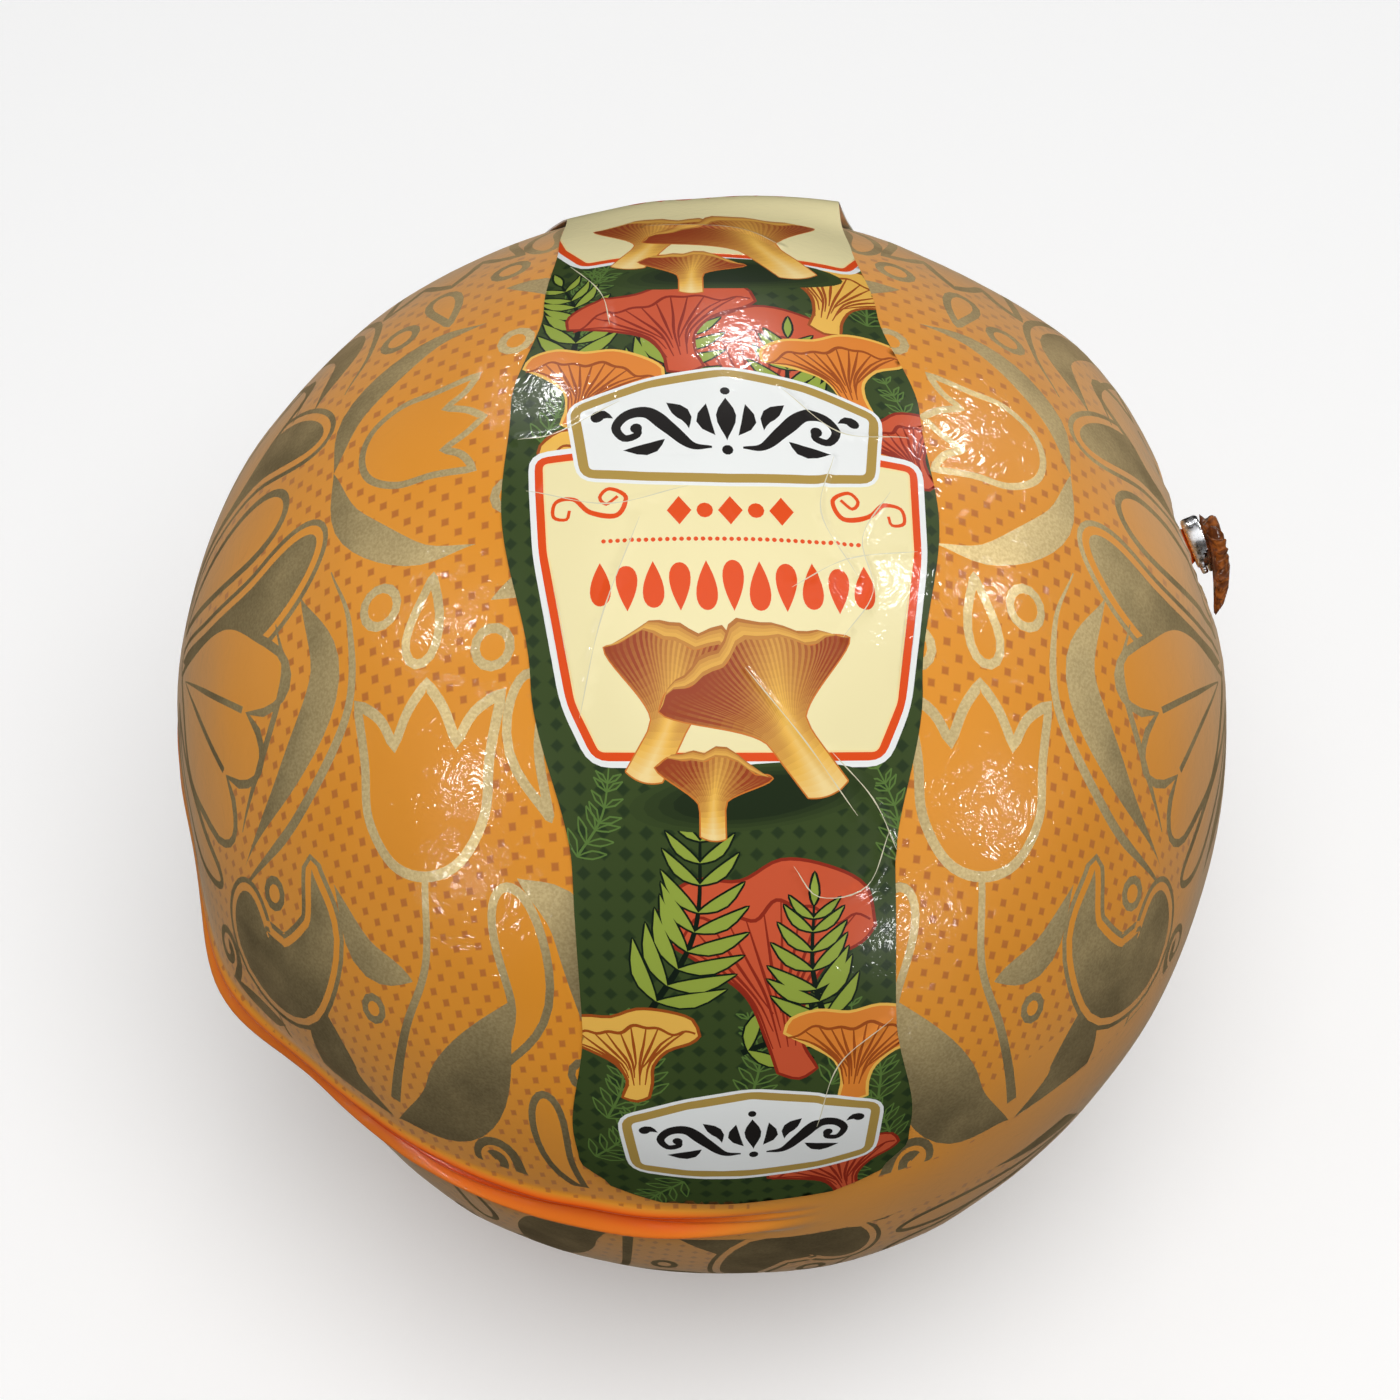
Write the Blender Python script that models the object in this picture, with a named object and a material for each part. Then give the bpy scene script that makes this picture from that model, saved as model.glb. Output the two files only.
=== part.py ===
"""A ball of cheese in printed shrink film, with a label wrapped over it and a clipped film tail.

Metres, +Z up. The origin is the middle of the small flat that the ball rests on. The label runs
over the top from the front (-Y) to the back (+Y). The film is gathered by a metal clip on the
right (+X), and its folded seal runs round the left side at half height.
"""

import math

import bmesh
import bpy
from mathutils import Matrix, Vector

MM = 0.001

# Ball
BALL_RADIUS = 75 * MM
REST_RADIUS = 18 * MM
BALL_CENTRE = Vector((0, 0, math.sqrt(BALL_RADIUS**2 - REST_RADIUS**2)))
BALL_SEGMENTS = 96
RING_STEP = 5.2

# Broad swells and hollows: azimuth, elevation and spread in degrees, then height
SWELLS = (
    (-149, -6, 8, 2.0 * MM),
    (-137, -14, 14, -3.2 * MM),
    (-166, 1, 12, -1.6 * MM),
    (-68, -26, 18, 1.6 * MM),
    (-15, 2, 22, -1.1 * MM),
    (33, 33, 11, 1.6 * MM),
    (100, -24, 22, -1.1 * MM),
    (165, 38, 20, 0.7 * MM),
    (60, -38, 20, 0.9 * MM),
)

# Folded seal: how far its line strays from half height, and its cross-section
SEAL_HEIGHT = -1.0
SEAL_DIP = (53, 10, -2.5)
SEAL_RISE = (112, 24, 3.5)
SEAL_ENDS = (-4, 184)
SEAL_FADE = 9
SEAL_THIN = (78, 16, 0.65)
# Each ridge or groove of the cross-section: distance below the line, half width, height
SEAL_PROFILE = (
    (-1.0 * MM, 1.0 * MM, 0.8 * MM),
    (0.9 * MM, 0.8 * MM, -0.9 * MM),
    (4.0 * MM, 1.7 * MM, 1.7 * MM),
)
SEAL_RING_OFFSETS = (-6.5, -3.5, -2.0, -1.0, 0.0, 0.9, 1.8, 2.8, 4.0, 5.2, 6.6, 9.0)

# Gather: where the film is clipped shut, and the dimple that it sits in
GATHER_AZIMUTH = 13.3
GATHER_ELEVATION = 19.0
TAIL_DROOP = Vector((0, -0.79, -0.61))
TAIL_CURL = 0.024 / MM
DIMPLE_DEPTH = 3.2 * MM
DIMPLE_SPREAD = 6.5
GATHER_SEGMENTS = 56
NECK_PLEATS = 14
TAIL_PLEATS = 7
NECK_LONG = 2.3 * MM
NECK_SHORT = 1.5 * MM

# Rings of the gathered film: long and short half widths, height over the ball, droop, ruffle
GATHER_RINGS = (
    (6.8 * MM, 6.2 * MM, -7.0 * MM, 0.0, 0.00),
    (5.6 * MM, 5.0 * MM, -3.6 * MM, 0.0, 0.06),
    (3.8 * MM, 3.2 * MM, -2.3 * MM, 0.0, 0.10),
    (2.5 * MM, 1.9 * MM, -1.3 * MM, 0.0, 0.08),
    (NECK_LONG, NECK_SHORT, -0.9 * MM, 0.0, 0.02),
    (NECK_LONG, NECK_SHORT, 0.4 * MM, 0.0, 0.02),
    (NECK_LONG, NECK_SHORT, 1.5 * MM, 0.0, 0.02),
    (4.0 * MM, 2.6 * MM, 1.75 * MM, 1.2 * MM, 0.08),
    (5.6 * MM, 3.4 * MM, 2.0 * MM, 2.9 * MM, 0.12),
    (6.0 * MM, 3.8 * MM, 2.7 * MM, 3.5 * MM, 0.16),
    (5.5 * MM, 3.5 * MM, 3.5 * MM, 3.4 * MM, 0.18),
    (3.8 * MM, 2.4 * MM, 3.9 * MM, 3.0 * MM, 0.14),
    (1.5 * MM, 1.0 * MM, 3.5 * MM, 2.6 * MM, 0.00),
)

# Clip: a flat wire closed round the neck
CLIP_GAP = 0.35 * MM
CLIP_WIRE = 1.15 * MM
CLIP_WIDTH = 2.0 * MM
CLIP_HEIGHT = 0.3 * MM
CLIP_STEPS = 36
CLIP_PROFILE_STEPS = 10
CLIP_SQUARENESS = 2.6

# Label: arc angles start at the front and run over the top to the back
LABEL_START = 2
LABEL_END = 178
LABEL_GAP = 0.3 * MM
LABEL_THICKNESS = 0.5 * MM
LABEL_FRONT_SHIFT = 5.8 * MM
LABEL_BACK_SHIFT = -2.6 * MM
LABEL_ROWS = 72
LABEL_COLUMNS = 10
# Half width at stations along the arc
LABEL_STATIONS = (
    (2, 11.0 * MM),
    (4, 17.5 * MM),
    (8, 21.2 * MM),
    (13, 21.6 * MM),
    (26, 19.5 * MM),
    (42, 19.7 * MM),
    (60, 24.0 * MM),
    (78, 27.4 * MM),
    (90, 26.0 * MM),
    (104, 21.6 * MM),
    (118, 19.6 * MM),
    (131, 18.4 * MM),
    (144, 22.8 * MM),
    (152, 23.6 * MM),
    (166, 20.2 * MM),
    (172, 20.4 * MM),
    (176, 17.0 * MM),
    (178, 11.0 * MM),
)
# Buckle: where the label stands off the ball in a fold across its width
BUCKLE_ARC = 132
BUCKLE_HALF_ARC = 5.5
BUCKLE_LOW = 0.6 * MM
BUCKLE_HIGH = 3.0 * MM


def direction(azimuth, elevation):
    """Unit vector for an azimuth, turned from +X towards +Y, and an elevation, in degrees."""
    a = math.radians(azimuth)
    e = math.radians(elevation)
    return Vector((math.cos(a) * math.cos(e), math.sin(a) * math.cos(e), math.sin(e)))


def bell(distance, spread):
    """1 at no distance, falling smoothly to 0 over about two spreads."""
    return math.exp(-((distance / spread) ** 2))


def smooth(low, high, value):
    """0 below low, 1 above high and an even ramp between them."""
    t = min(1.0, max(0.0, (value - low) / (high - low)))
    return t * t * (3 - 2 * t)


def along_seal(azimuth):
    """Degrees along the seal: 0 at the front, 90 at the left, 180 at the back."""
    return (-90 - azimuth + 90) % 360 - 90


def seal_line(turn):
    """Elevation of the seal, in degrees, at a place along it."""
    dip_at, dip_spread, dip = SEAL_DIP
    rise_at, rise_spread, rise = SEAL_RISE
    return (
        SEAL_HEIGHT
        + dip * bell(turn - dip_at, dip_spread)
        + rise * bell(turn - rise_at, rise_spread)
    )


def seal_strength(turn):
    """How fully the seal stands at a place along it, from 0 to 1."""
    start, end = SEAL_ENDS
    thin_at, thin_spread, thinning = SEAL_THIN
    rises = smooth(start - SEAL_FADE, start + SEAL_FADE, turn)
    falls = 1 - smooth(end - SEAL_FADE, end + SEAL_FADE, turn)
    return rises * falls * (1 - thinning * bell(turn - thin_at, thin_spread))


def seal_relief(azimuth, elevation):
    """Height of the folded seal above the ball."""
    turn = along_seal(azimuth)
    strength = seal_strength(turn)
    if strength == 0:
        return 0
    below = math.radians(seal_line(turn) - elevation) * BALL_RADIUS
    return strength * sum(h * bell(below - at, width) for at, width, h in SEAL_PROFILE)


def film_radius(n):
    """Distance of the film from the ball's centre in the direction n."""
    azimuth = math.degrees(math.atan2(n.y, n.x))
    elevation = math.degrees(math.asin(max(-1.0, min(1.0, n.z))))
    radius = BALL_RADIUS + seal_relief(azimuth, elevation)
    for swell_azimuth, swell_elevation, spread, height in SWELLS:
        away = math.degrees(n.angle(direction(swell_azimuth, swell_elevation)))
        radius += height * bell(away, spread)
    gather = math.degrees(n.angle(direction(GATHER_AZIMUTH, GATHER_ELEVATION)))
    return radius - DIMPLE_DEPTH * bell(gather, DIMPLE_SPREAD)


def film_point(n, lift=0.0):
    """Point of the film in the direction n, raised by lift and never below the rest plane."""
    point = BALL_CENTRE + n * (film_radius(n) + lift)
    point.z = max(point.z, 0.0)
    return point


def ring_elevations():
    """Elevations of the ball's rings in degrees, top to bottom, close together at the seal."""
    close = [SEAL_HEIGHT - math.degrees(o * MM / BALL_RADIUS) for o in SEAL_RING_OFFSETS]
    lowest = -math.degrees(math.acos(REST_RADIUS / BALL_RADIUS))
    upper_steps = round((90 - close[0]) / RING_STEP)
    lower_steps = round((close[-1] - lowest) / RING_STEP)
    above = [90 + (close[0] - 90) * i / upper_steps for i in range(1, upper_steps)]
    below = [close[-1] + (lowest - close[-1]) * (i + 1) / lower_steps for i in range(lower_steps)]
    return above + close + below


def bridge(faces, rings):
    """Adds the four-sided faces between each ring of vertices and the next."""
    for upper, lower in zip(rings, rings[1:]):
        count = len(upper)
        for i in range(count):
            j = (i + 1) % count
            faces.append((upper[i], lower[i], lower[j], upper[j]))


def solid_of_rings(name, rings, first_tip, last_tip):
    """A closed mesh object from rings of points between two tips."""
    points = [first_tip]
    numbers = []
    for ring in rings:
        numbers.append(range(len(points), len(points) + len(ring)))
        points.extend(ring)
    points.append(last_tip)
    last = len(points) - 1
    faces = []
    bridge(faces, numbers)
    for upper, tip in ((numbers[0], 0), (numbers[-1], last)):
        for i, vertex in enumerate(upper):
            faces.append((tip, vertex, upper[(i + 1) % len(upper)]))
    return mesh_object(name, points, faces)


def mesh_object(name, points, faces):
    """An object with a smooth triangulated mesh whose faces point out."""
    mesh = bpy.data.meshes.new(name)
    mesh.from_pydata(points, [], faces)
    work = bmesh.new()
    work.from_mesh(mesh)
    bmesh.ops.triangulate(work, faces=work.faces)
    bmesh.ops.recalc_face_normals(work, faces=work.faces)
    work.to_mesh(mesh)
    work.free()
    mesh.shade_smooth()
    made = bpy.data.objects.new(name, mesh)
    bpy.context.scene.collection.objects.link(made)
    return made


def gather_frame():
    """Matrix of the gather: X along the droop, Z out of the ball, origin on the plain ball."""
    out = direction(GATHER_AZIMUTH, GATHER_ELEVATION)
    long_way = (TAIL_DROOP - out * TAIL_DROOP.dot(out)).normalized()
    short_way = out.cross(long_way)
    turn = Matrix((long_way, short_way, out)).transposed().to_4x4()
    return Matrix.Translation(BALL_CENTRE + out * BALL_RADIUS) @ turn


def gather_ring(frame, long_half, short_half, height, droop, ruffle, pleats):
    """One ruffled oval ring of the gathered film."""
    ring = []
    for i in range(GATHER_SEGMENTS):
        angle = 2 * math.pi * i / GATHER_SEGMENTS
        swell = 1 + ruffle * math.cos(pleats * angle + 0.6)
        x = droop + long_half * swell * math.cos(angle)
        y = short_half * swell * math.sin(angle)
        curl = TAIL_CURL * max(0.0, x) ** 2 if droop else 0.0
        ring.append(frame @ Vector((x, y, height - curl)))
    return ring


def make_gather():
    """Neck and ruffled tail of the film, from inside the ball out past the clip."""
    frame = gather_frame()
    rings = []
    for long_half, short_half, height, droop, ruffle in GATHER_RINGS:
        pleats = NECK_PLEATS if droop == 0 else TAIL_PLEATS
        rings.append(gather_ring(frame, long_half, short_half, height, droop, ruffle, pleats))
    first = frame @ Vector((0, 0, GATHER_RINGS[0][2]))
    last = frame @ Vector((GATHER_RINGS[-1][3], 0, GATHER_RINGS[-1][2]))
    return solid_of_rings("gather", rings, first, last)


def make_ball():
    """The film-wrapped ball on its small flat, with its gathered neck and tail joined on."""
    rings = []
    for elevation in ring_elevations():
        ring = []
        for i in range(BALL_SEGMENTS):
            ring.append(film_point(direction(360 * i / BALL_SEGMENTS, elevation)))
        rings.append(ring)
    for point in rings[-1]:
        point.z = 0.0
    top = film_point(Vector((0, 0, 1)))
    ball = solid_of_rings("film_ball", rings, top, Vector((0, 0, 0)))

    gather = make_gather()
    joining = ball.modifiers.new("gather", "BOOLEAN")
    joining.operation = "UNION"
    joining.object = gather
    bpy.context.view_layer.objects.active = ball
    bpy.ops.object.modifier_apply(modifier=joining.name)
    bpy.data.objects.remove(gather)
    return ball


def oval(long_half, short_half, angle):
    """Point of a squared-off oval at an angle."""
    c = math.cos(angle)
    s = math.sin(angle)
    power = 2 / CLIP_SQUARENESS
    x = math.copysign(abs(c) ** power, c) * long_half
    y = math.copysign(abs(s) ** power, s) * short_half
    return Vector((x, y, 0))


def make_clip():
    """The flat wire closed round the film's neck."""
    frame = gather_frame()
    inner = CLIP_GAP + CLIP_WIRE / 2
    rings = []
    for i in range(CLIP_STEPS):
        angle = 2 * math.pi * i / CLIP_STEPS
        middle = oval(NECK_LONG + inner, NECK_SHORT + inner, angle)
        outward = Vector((math.cos(angle), math.sin(angle), 0))
        ring = []
        for j in range(CLIP_PROFILE_STEPS):
            turn = 2 * math.pi * j / CLIP_PROFILE_STEPS
            section = oval(CLIP_WIRE / 2, CLIP_WIDTH / 2, turn)
            offset = outward * section.x + Vector((0, 0, CLIP_HEIGHT + section.y))
            ring.append(frame @ (middle + offset))
        rings.append(ring)
    points = [p for ring in rings for p in ring]
    numbers = [
        range(i * CLIP_PROFILE_STEPS, (i + 1) * CLIP_PROFILE_STEPS) for i in range(CLIP_STEPS)
    ]
    faces = []
    bridge(faces, [*numbers, numbers[0]])
    return mesh_object("clip", points, faces)


def label_half_width(arc):
    """Half the label's width at an arc angle, eased between its stations."""
    for (low, narrow), (high, wide) in zip(LABEL_STATIONS, LABEL_STATIONS[1:]):
        if arc <= high:
            return narrow + (wide - narrow) * smooth(low, high, arc)
    return LABEL_STATIONS[-1][1]


def label_direction(arc, across):
    """Direction from the ball's centre to a place on the label."""
    a = math.radians(arc)
    over = Vector((0, -math.cos(a), math.sin(a)))
    shift = LABEL_FRONT_SHIFT + (LABEL_BACK_SHIFT - LABEL_FRONT_SHIFT) * arc / 180
    side = (across + shift) / BALL_RADIUS
    return over * math.cos(side) + Vector((1, 0, 0)) * math.sin(side)


def buckle_lift(arc, share):
    """How far the label stands off the ball. share runs from -1 at the left to 1 at the right."""
    height = BUCKLE_LOW + (BUCKLE_HIGH - BUCKLE_LOW) * ((share + 1) / 2) ** 2
    return height * bell(arc - BUCKLE_ARC, BUCKLE_HALF_ARC)


def label_face(lift):
    """Rows of points of one face of the label, lift above the film."""
    rows = []
    for i in range(LABEL_ROWS + 1):
        arc = LABEL_START + (LABEL_END - LABEL_START) * i / LABEL_ROWS
        half = label_half_width(arc)
        row = []
        for j in range(LABEL_COLUMNS + 1):
            share = 2 * j / LABEL_COLUMNS - 1
            n = label_direction(arc, share * half)
            row.append(film_point(n, lift + buckle_lift(arc, share)))
        rows.append(row)
    return rows


def make_label():
    """The printed label: a thin band over the top, with a buckle behind the top of the ball."""
    under = label_face(LABEL_GAP)
    upper = label_face(LABEL_GAP + LABEL_THICKNESS)
    rings = []
    for low, high in zip(under, upper):
        rings.append(high + low[::-1])
    points = [p for ring in rings for p in ring]
    size = len(rings[0])
    numbers = [range(i * size, (i + 1) * size) for i in range(len(rings))]
    faces = []
    bridge(faces, numbers)
    for ring in (numbers[0], numbers[-1]):
        for j in range(LABEL_COLUMNS):
            faces.append((ring[j], ring[j + 1], ring[size - 2 - j], ring[size - 1 - j]))
    return mesh_object("label", points, faces)


def finish(thing, name, colour, roughness, metallic=0.0):
    """Gives an object its own plain material."""
    material = bpy.data.materials.new(name)
    material.use_nodes = True
    shader = material.node_tree.nodes["Principled BSDF"]
    shader.inputs["Base Color"].default_value = (*colour, 1)
    shader.inputs["Roughness"].default_value = roughness
    shader.inputs["Metallic"].default_value = metallic
    thing.data.materials.clear()
    thing.data.materials.append(material)


def main():
    for old in list(bpy.data.objects):
        bpy.data.objects.remove(old)
    finish(make_ball(), "orange_film", (0.70, 0.27, 0.04), 0.3)
    finish(make_label(), "label_paper", (0.03, 0.08, 0.03), 0.35)
    finish(make_clip(), "clip_metal", (0.75, 0.76, 0.78), 0.25, 1.0)


main()
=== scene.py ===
import math

import bpy
import numpy as np
from bpy.props import FloatProperty, FloatVectorProperty, PointerProperty
from mathutils import Matrix, Vector
from mathutils.geometry import delaunay_2d_cdt
from mathutils.kdtree import KDTree


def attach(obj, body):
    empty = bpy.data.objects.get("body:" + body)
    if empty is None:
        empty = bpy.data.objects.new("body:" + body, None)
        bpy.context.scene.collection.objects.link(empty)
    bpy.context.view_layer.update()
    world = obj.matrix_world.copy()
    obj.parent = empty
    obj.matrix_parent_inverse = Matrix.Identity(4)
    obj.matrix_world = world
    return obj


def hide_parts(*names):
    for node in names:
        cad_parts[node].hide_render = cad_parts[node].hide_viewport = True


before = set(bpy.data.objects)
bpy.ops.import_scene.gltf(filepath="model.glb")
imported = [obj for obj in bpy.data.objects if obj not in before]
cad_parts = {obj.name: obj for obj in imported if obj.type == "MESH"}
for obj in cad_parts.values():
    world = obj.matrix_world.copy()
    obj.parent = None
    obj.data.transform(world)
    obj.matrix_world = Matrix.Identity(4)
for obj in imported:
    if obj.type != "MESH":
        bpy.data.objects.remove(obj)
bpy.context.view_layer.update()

bl_info = {
    "name": "Ball of cheese in printed film",
    "version": (1, 0, 0),
    "blender": (4, 5, 0),
    "location": "View3D > Sidebar > Cheese",
    "description": "Printed film, label, clip and stage of a ball of cheese",
    "category": "Add Mesh",
}

# Lengths are in millimetres and angles in degrees, until a mesh is made in metres
MM = 0.001

# Ball, as in the model
BALL_RADIUS = 75.0
REST_RADIUS = 18.0
BALL_CENTRE = np.array([0, 0, math.sqrt(BALL_RADIUS**2 - REST_RADIUS**2)])

# Broad swells and hollows: azimuth, elevation, spread, height
SWELLS = (
    (-149, -6, 8, 2.0), (-137, -14, 14, -3.2), (-166, 1, 12, -1.6), (-68, -26, 18, 1.6),
    (-15, 2, 22, -1.1), (33, 33, 11, 1.6), (100, -24, 22, -1.1), (165, 38, 20, 0.7),
    (60, -38, 20, 0.9),
)

# Folded seal of the film: its line round the ball and the folds across it
SEAL_HEIGHT = -1.0
SEAL_DIP = (53, 10, -2.5)
SEAL_RISE = (112, 24, 3.5)
SEAL_ENDS = (-4, 184)
SEAL_FADE = 9
SEAL_THIN = (78, 16, 0.65)
# Each fold: distance below the line, half width, height, how far it wanders
SEAL_FOLDS = (
    (-0.6, 0.9, 0.8, 0.15), (0.7, 0.45, -0.9, 0.1), (1.6, 0.55, 0.35, 0.15),
    (2.5, 0.45, -0.7, 0.2), (4.0, 1.15, 1.6, 0.3), (6.2, 1.4, -0.3, 0.4),
)
SEAL_STEPS = 316
# Rows of points across the band, by distance below the line: coarse, fine, coarse
SEAL_TOP = -4.0
SEAL_BOTTOM = 8.0
SEAL_ABOVE = (SEAL_TOP, -3.2, -2.4)
SEAL_FINE = (-1.8, 5.6, 0.3)
SEAL_BELOW = (6.0, 6.5, 7.2, SEAL_BOTTOM)
SEAL_MIDDLE = 2.5
PRINT_STOPS = (-1.5, 6.5)
# Where the doubled film begins, thins and ends, each over a distance
DOUBLED_FROM = (-1.7, -0.5)
DOUBLED_THINS = (2.0, 3.4)
DOUBLED_TO = (4.6, 6.2)

# Soft unevenness of the film: height, and how many waves go round the ball
SLACK_HEIGHT = 0.045
SLACK_WAVES = (14, 17, 21, 26, 31, 38, 47)
WAVES_OF_EACH = 3
SLACK_SEED = 7

# How many layers of film lie on each other, as the finish reads it: below 0 it is stretched
LAYERS_STRETCHED = -0.45
LAYERS_AT_NECK = 0.3
LAYERS_DOUBLED = 0.5
LAYERS_IN_TAIL = 1.0

# Gather: where the film is clipped shut, the dimple round it and its pleats
GATHER_AZIMUTH = 13.3
GATHER_ELEVATION = 19.0
TAIL_DROOP = np.array([0, -0.79, -0.61])
TAIL_CURL = 0.036
DIMPLE_DEPTH = 3.2
DIMPLE_SPREAD = 6.5
GATHER_HOLE = 6.5
GATHER_STEPS = 132
# Rings of points round the hole. Beyond the last distance every second point is enough
GATHER_RINGS = (7.4, 8.4, 9.6, 11.0, 12.8, 15.0, 17.6, 20.6)
GATHER_DENSE = 14
# Nothing is printed nearer than this
GATHER_KEEP = 9.4
PLEATS = 22
PLEAT_HEIGHT = 0.42
PLEAT_REACH = 9.0
PLEAT_END = (22, 32)
PALE_REACH = 24.0
NECK_LONG = 2.3
NECK_SHORT = 1.5
# Rings from the dimple to the neck: share of the way from the hole, height, pleat depth
DIMPLE_RINGS = (
    (0.25, -2.35, 0.06), (0.45, -2.6, 0.09), (0.65, -2.6, 0.13), (0.82, -2.3, 0.16),
    (0.94, -1.6, 0.17),
)
# Rings of the neck and tail: long and short half widths, height, droop, ruffle
TAIL_RINGS = (
    (NECK_LONG, NECK_SHORT, -0.9, 0.0, 0.10),
    (NECK_LONG, NECK_SHORT, 0.4, 0.0, 0.08),
    (NECK_LONG, NECK_SHORT, 1.45, 0.0, 0.10),
    (3.1, 2.1, 1.65, 0.6, 0.16), (4.0, 2.6, 1.75, 1.2, 0.20), (4.9, 3.1, 1.85, 2.1, 0.24),
    (5.6, 3.4, 2.0, 2.9, 0.26), (6.0, 3.7, 2.35, 3.3, 0.28), (6.0, 3.8, 2.7, 3.5, 0.30),
    (5.8, 3.7, 3.1, 3.5, 0.32), (5.5, 3.5, 3.5, 3.4, 0.30), (4.7, 3.0, 3.8, 3.2, 0.30),
    (3.8, 2.4, 3.9, 3.0, 0.26), (2.6, 1.7, 3.8, 2.8, 0.22), (1.5, 1.0, 3.5, 2.6, 0.10),
    (0.5, 0.3, 3.3, 2.5, 0.0),
)
TAIL_PLEATS = 11
TAIL_WRINKLES = 4
TAIL_SEED = 11

# Finishes: strength and height of the wrinkles in the gloss, and shares of the print's effects
COAT_IOR = 1.36
FILM_WRINKLE = (1.0, 0.0004)
LABEL_WRINKLE = (0.8, 0.0003)
# Painted reflection at the film's edges: how closely it keeps to where the film is seen edge on,
# and its share on the ink
RIM_REFLECTION_POWER = 3.6
INK_RIM_REFLECTION = 0.5
GRAIN_STRENGTH = 0.5
DOT_STRENGTH = 0.88
# Small squares: blur of their edges, how their half width varies, and cells left of the middle
DOT_BLUR = 0.00012
DOT_UNEVEN = (0.3, 0.7, 0.44, 0.56)
DOT_CELLS_BEFORE = 100

# Steps to each side for the slope of the film, in radians, and of the label
FILM_SLOPE_STEP = 0.0016
LABEL_SLOPE_STEP = 0.12
# Points nearer than this become one
WELD = 0.002

# Print on the film
INK_LINE = 1.3
CONTOUR_GAP = 1.3
CONTOUR_LINE = 0.9
GRID_STEP = 3.4
EDGE_GAP = 0.35
LOWER_TURN = 40.0
# Unprinted film on the right: its inner edge, its ends and how slowly it begins
BARE_RADIUS = 103.0
BARE_ENDS = (-84, 106)
BARE_FADE = 16
BARE_WAVE = 0.8
BARE_STEPS = 120

# Label: arc angles start at the front and run over the top to the back
LABEL_START = 2
LABEL_END = 178
LABEL_GAP = 0.18
LABEL_FRONT_SHIFT = 5.8
LABEL_BACK_SHIFT = -2.6
LABEL_EDGE_STEPS = 170
LABEL_END_STEPS = 12
LABEL_GRID = 1.0
LABEL_UNDER_GRID = 4.0
# Half width at stations along the arc
LABEL_STATIONS = (
    (2, 11.0), (4, 17.5), (8, 21.2), (13, 21.6), (26, 19.5), (42, 19.7), (60, 24.0), (78, 27.4),
    (90, 26.0), (104, 21.6), (118, 19.6), (131, 18.4), (144, 22.8), (152, 23.6), (166, 20.2),
    (172, 20.4), (176, 17.0), (178, 11.0),
)
BUCKLE_ARC = 132
BUCKLE_HALF_ARC = 5.5
BUCKLE_LOW = 0.6
BUCKLE_HIGH = 3.0
# Creases of the label on its flat print: points, height
CREASES = (
    (((14, 108), (12, 100), (16, 92)), 0.32),
    (((21, 104), (17, 97), (18, 90), (14, 84)), 0.26),
    (((-24, 104), (-14, 101), (-4, 103)), 0.2),
    (((-10, 99), (-15, 86), (-18, 74)), 0.22),
    (((24, 96), (15, 94), (8, 90)), 0.2),
    (((12, 70), (17, 64), (20, 57)), 0.26),
    (((2, 80), (9, 71), (15, 62)), 0.2),
    (((7, 56), (10, 52), (16, 53), (19, 60)), 0.24),
    (((-25, 112), (-20, 112), (-12, 116)), 0.22),
    (((8, 118), (15, 112), (24, 113)), 0.2),
    (((-18, 146), (-14, 137), (-13, 130)), 0.22),
    (((10, 150), (4, 156), (-8, 158)), 0.22),
    (((19, 34), (12, 28), (9, 18)), 0.18),
)
CREASE_WIDTH = 0.5
CREASE_WEAR = (0.04, 0.16, 0.08, 0.2, 0.06, 0.16, 0.04)
# Where the label's panels, plates and pictures stand along it
ART_CENTRE = 1.0
FRONT_PLATE = 17.0
TOP_PLATE = 112.2
BACK_PLATE = 222.0
PANEL_FOOT = 68.0
REPEAT = 76.5
# How much higher the rows of small ornaments stand on the second panel
PANEL_RAISED = 8.5

# Shaded mushrooms: where they are narrowest on the way down, and how yellow the crown's bands are
FUNNEL_WAIST = 0.62
CROWN_TONES = (0.45, 0.8, 0.7, 0.55, 0.3)

# Clip: its gap to the neck, its height above the ball, and the length and turn of its ends
CLIP_GAP = 0.35
CLIP_HEIGHT = 0.3
CLIP_END = 2.6
CLIP_END_TURN = 62
CLIP_SMOOTH = 40

# Camera, as the photograph was taken
CAMERA_ELEVATION = 54.0
CAMERA_DISTANCE = 450.0
CAMERA_AIM_RIGHT = -0.43
CAMERA_AIM_UP = 5.45
CAMERA_NEAR = 20.0

# Lights: azimuth and elevation seen from the ball, then metres and watts
KEY_LIGHT = (-76, 71, 1.1, 0.9)
GLOSS_LIGHT = (-96, 80, 1.2, 1.0, 3.0)
# Light from all round: the heights between which it grows, and its strength below
SKY = (-0.3, 0.08, 0.12)
PANEL_DISTANCE = 1.0
PANEL_SIZE = 0.1
PANEL_LIGHTS = (
    (-178, 40, 2.8), (-146, 28, 2.8), (-136, 12, 2.2), (84, 38, 2.8), (122, 40, 2.8),
    (-2, 57, 2.8), (7, 33, 2.8), (-27, 16, 2.8), (-52, 8, 2.2), (41, 30, 2.8),
)
FLOOR_SIZE = 24


def colour(red, green, blue):
    """Linear colour of a colour written in display values from 0 to 255."""
    made = []
    for value in (red, green, blue):
        share = value / 255
        made.append(share / 12.92 if share <= 0.04045 else ((share + 0.055) / 1.055) ** 2.4)
    return tuple(made)


def shade(name, default, description):
    """A colour setting."""
    return FloatVectorProperty(
        name=name, description=description, subtype="COLOR", size=3, min=0, max=1, default=default
    )


def share_of(name, default, description):
    """A setting from 0 to 1."""
    return FloatProperty(
        name=name, description=description, subtype="FACTOR", min=0, max=1, default=default
    )


def length(name, default_mm, description):
    """A length setting, given in millimetres and kept in metres."""
    return FloatProperty(
        name=name, description=description, unit="LENGTH", min=0, default=default_mm * MM,
        precision=5,
    )


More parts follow.
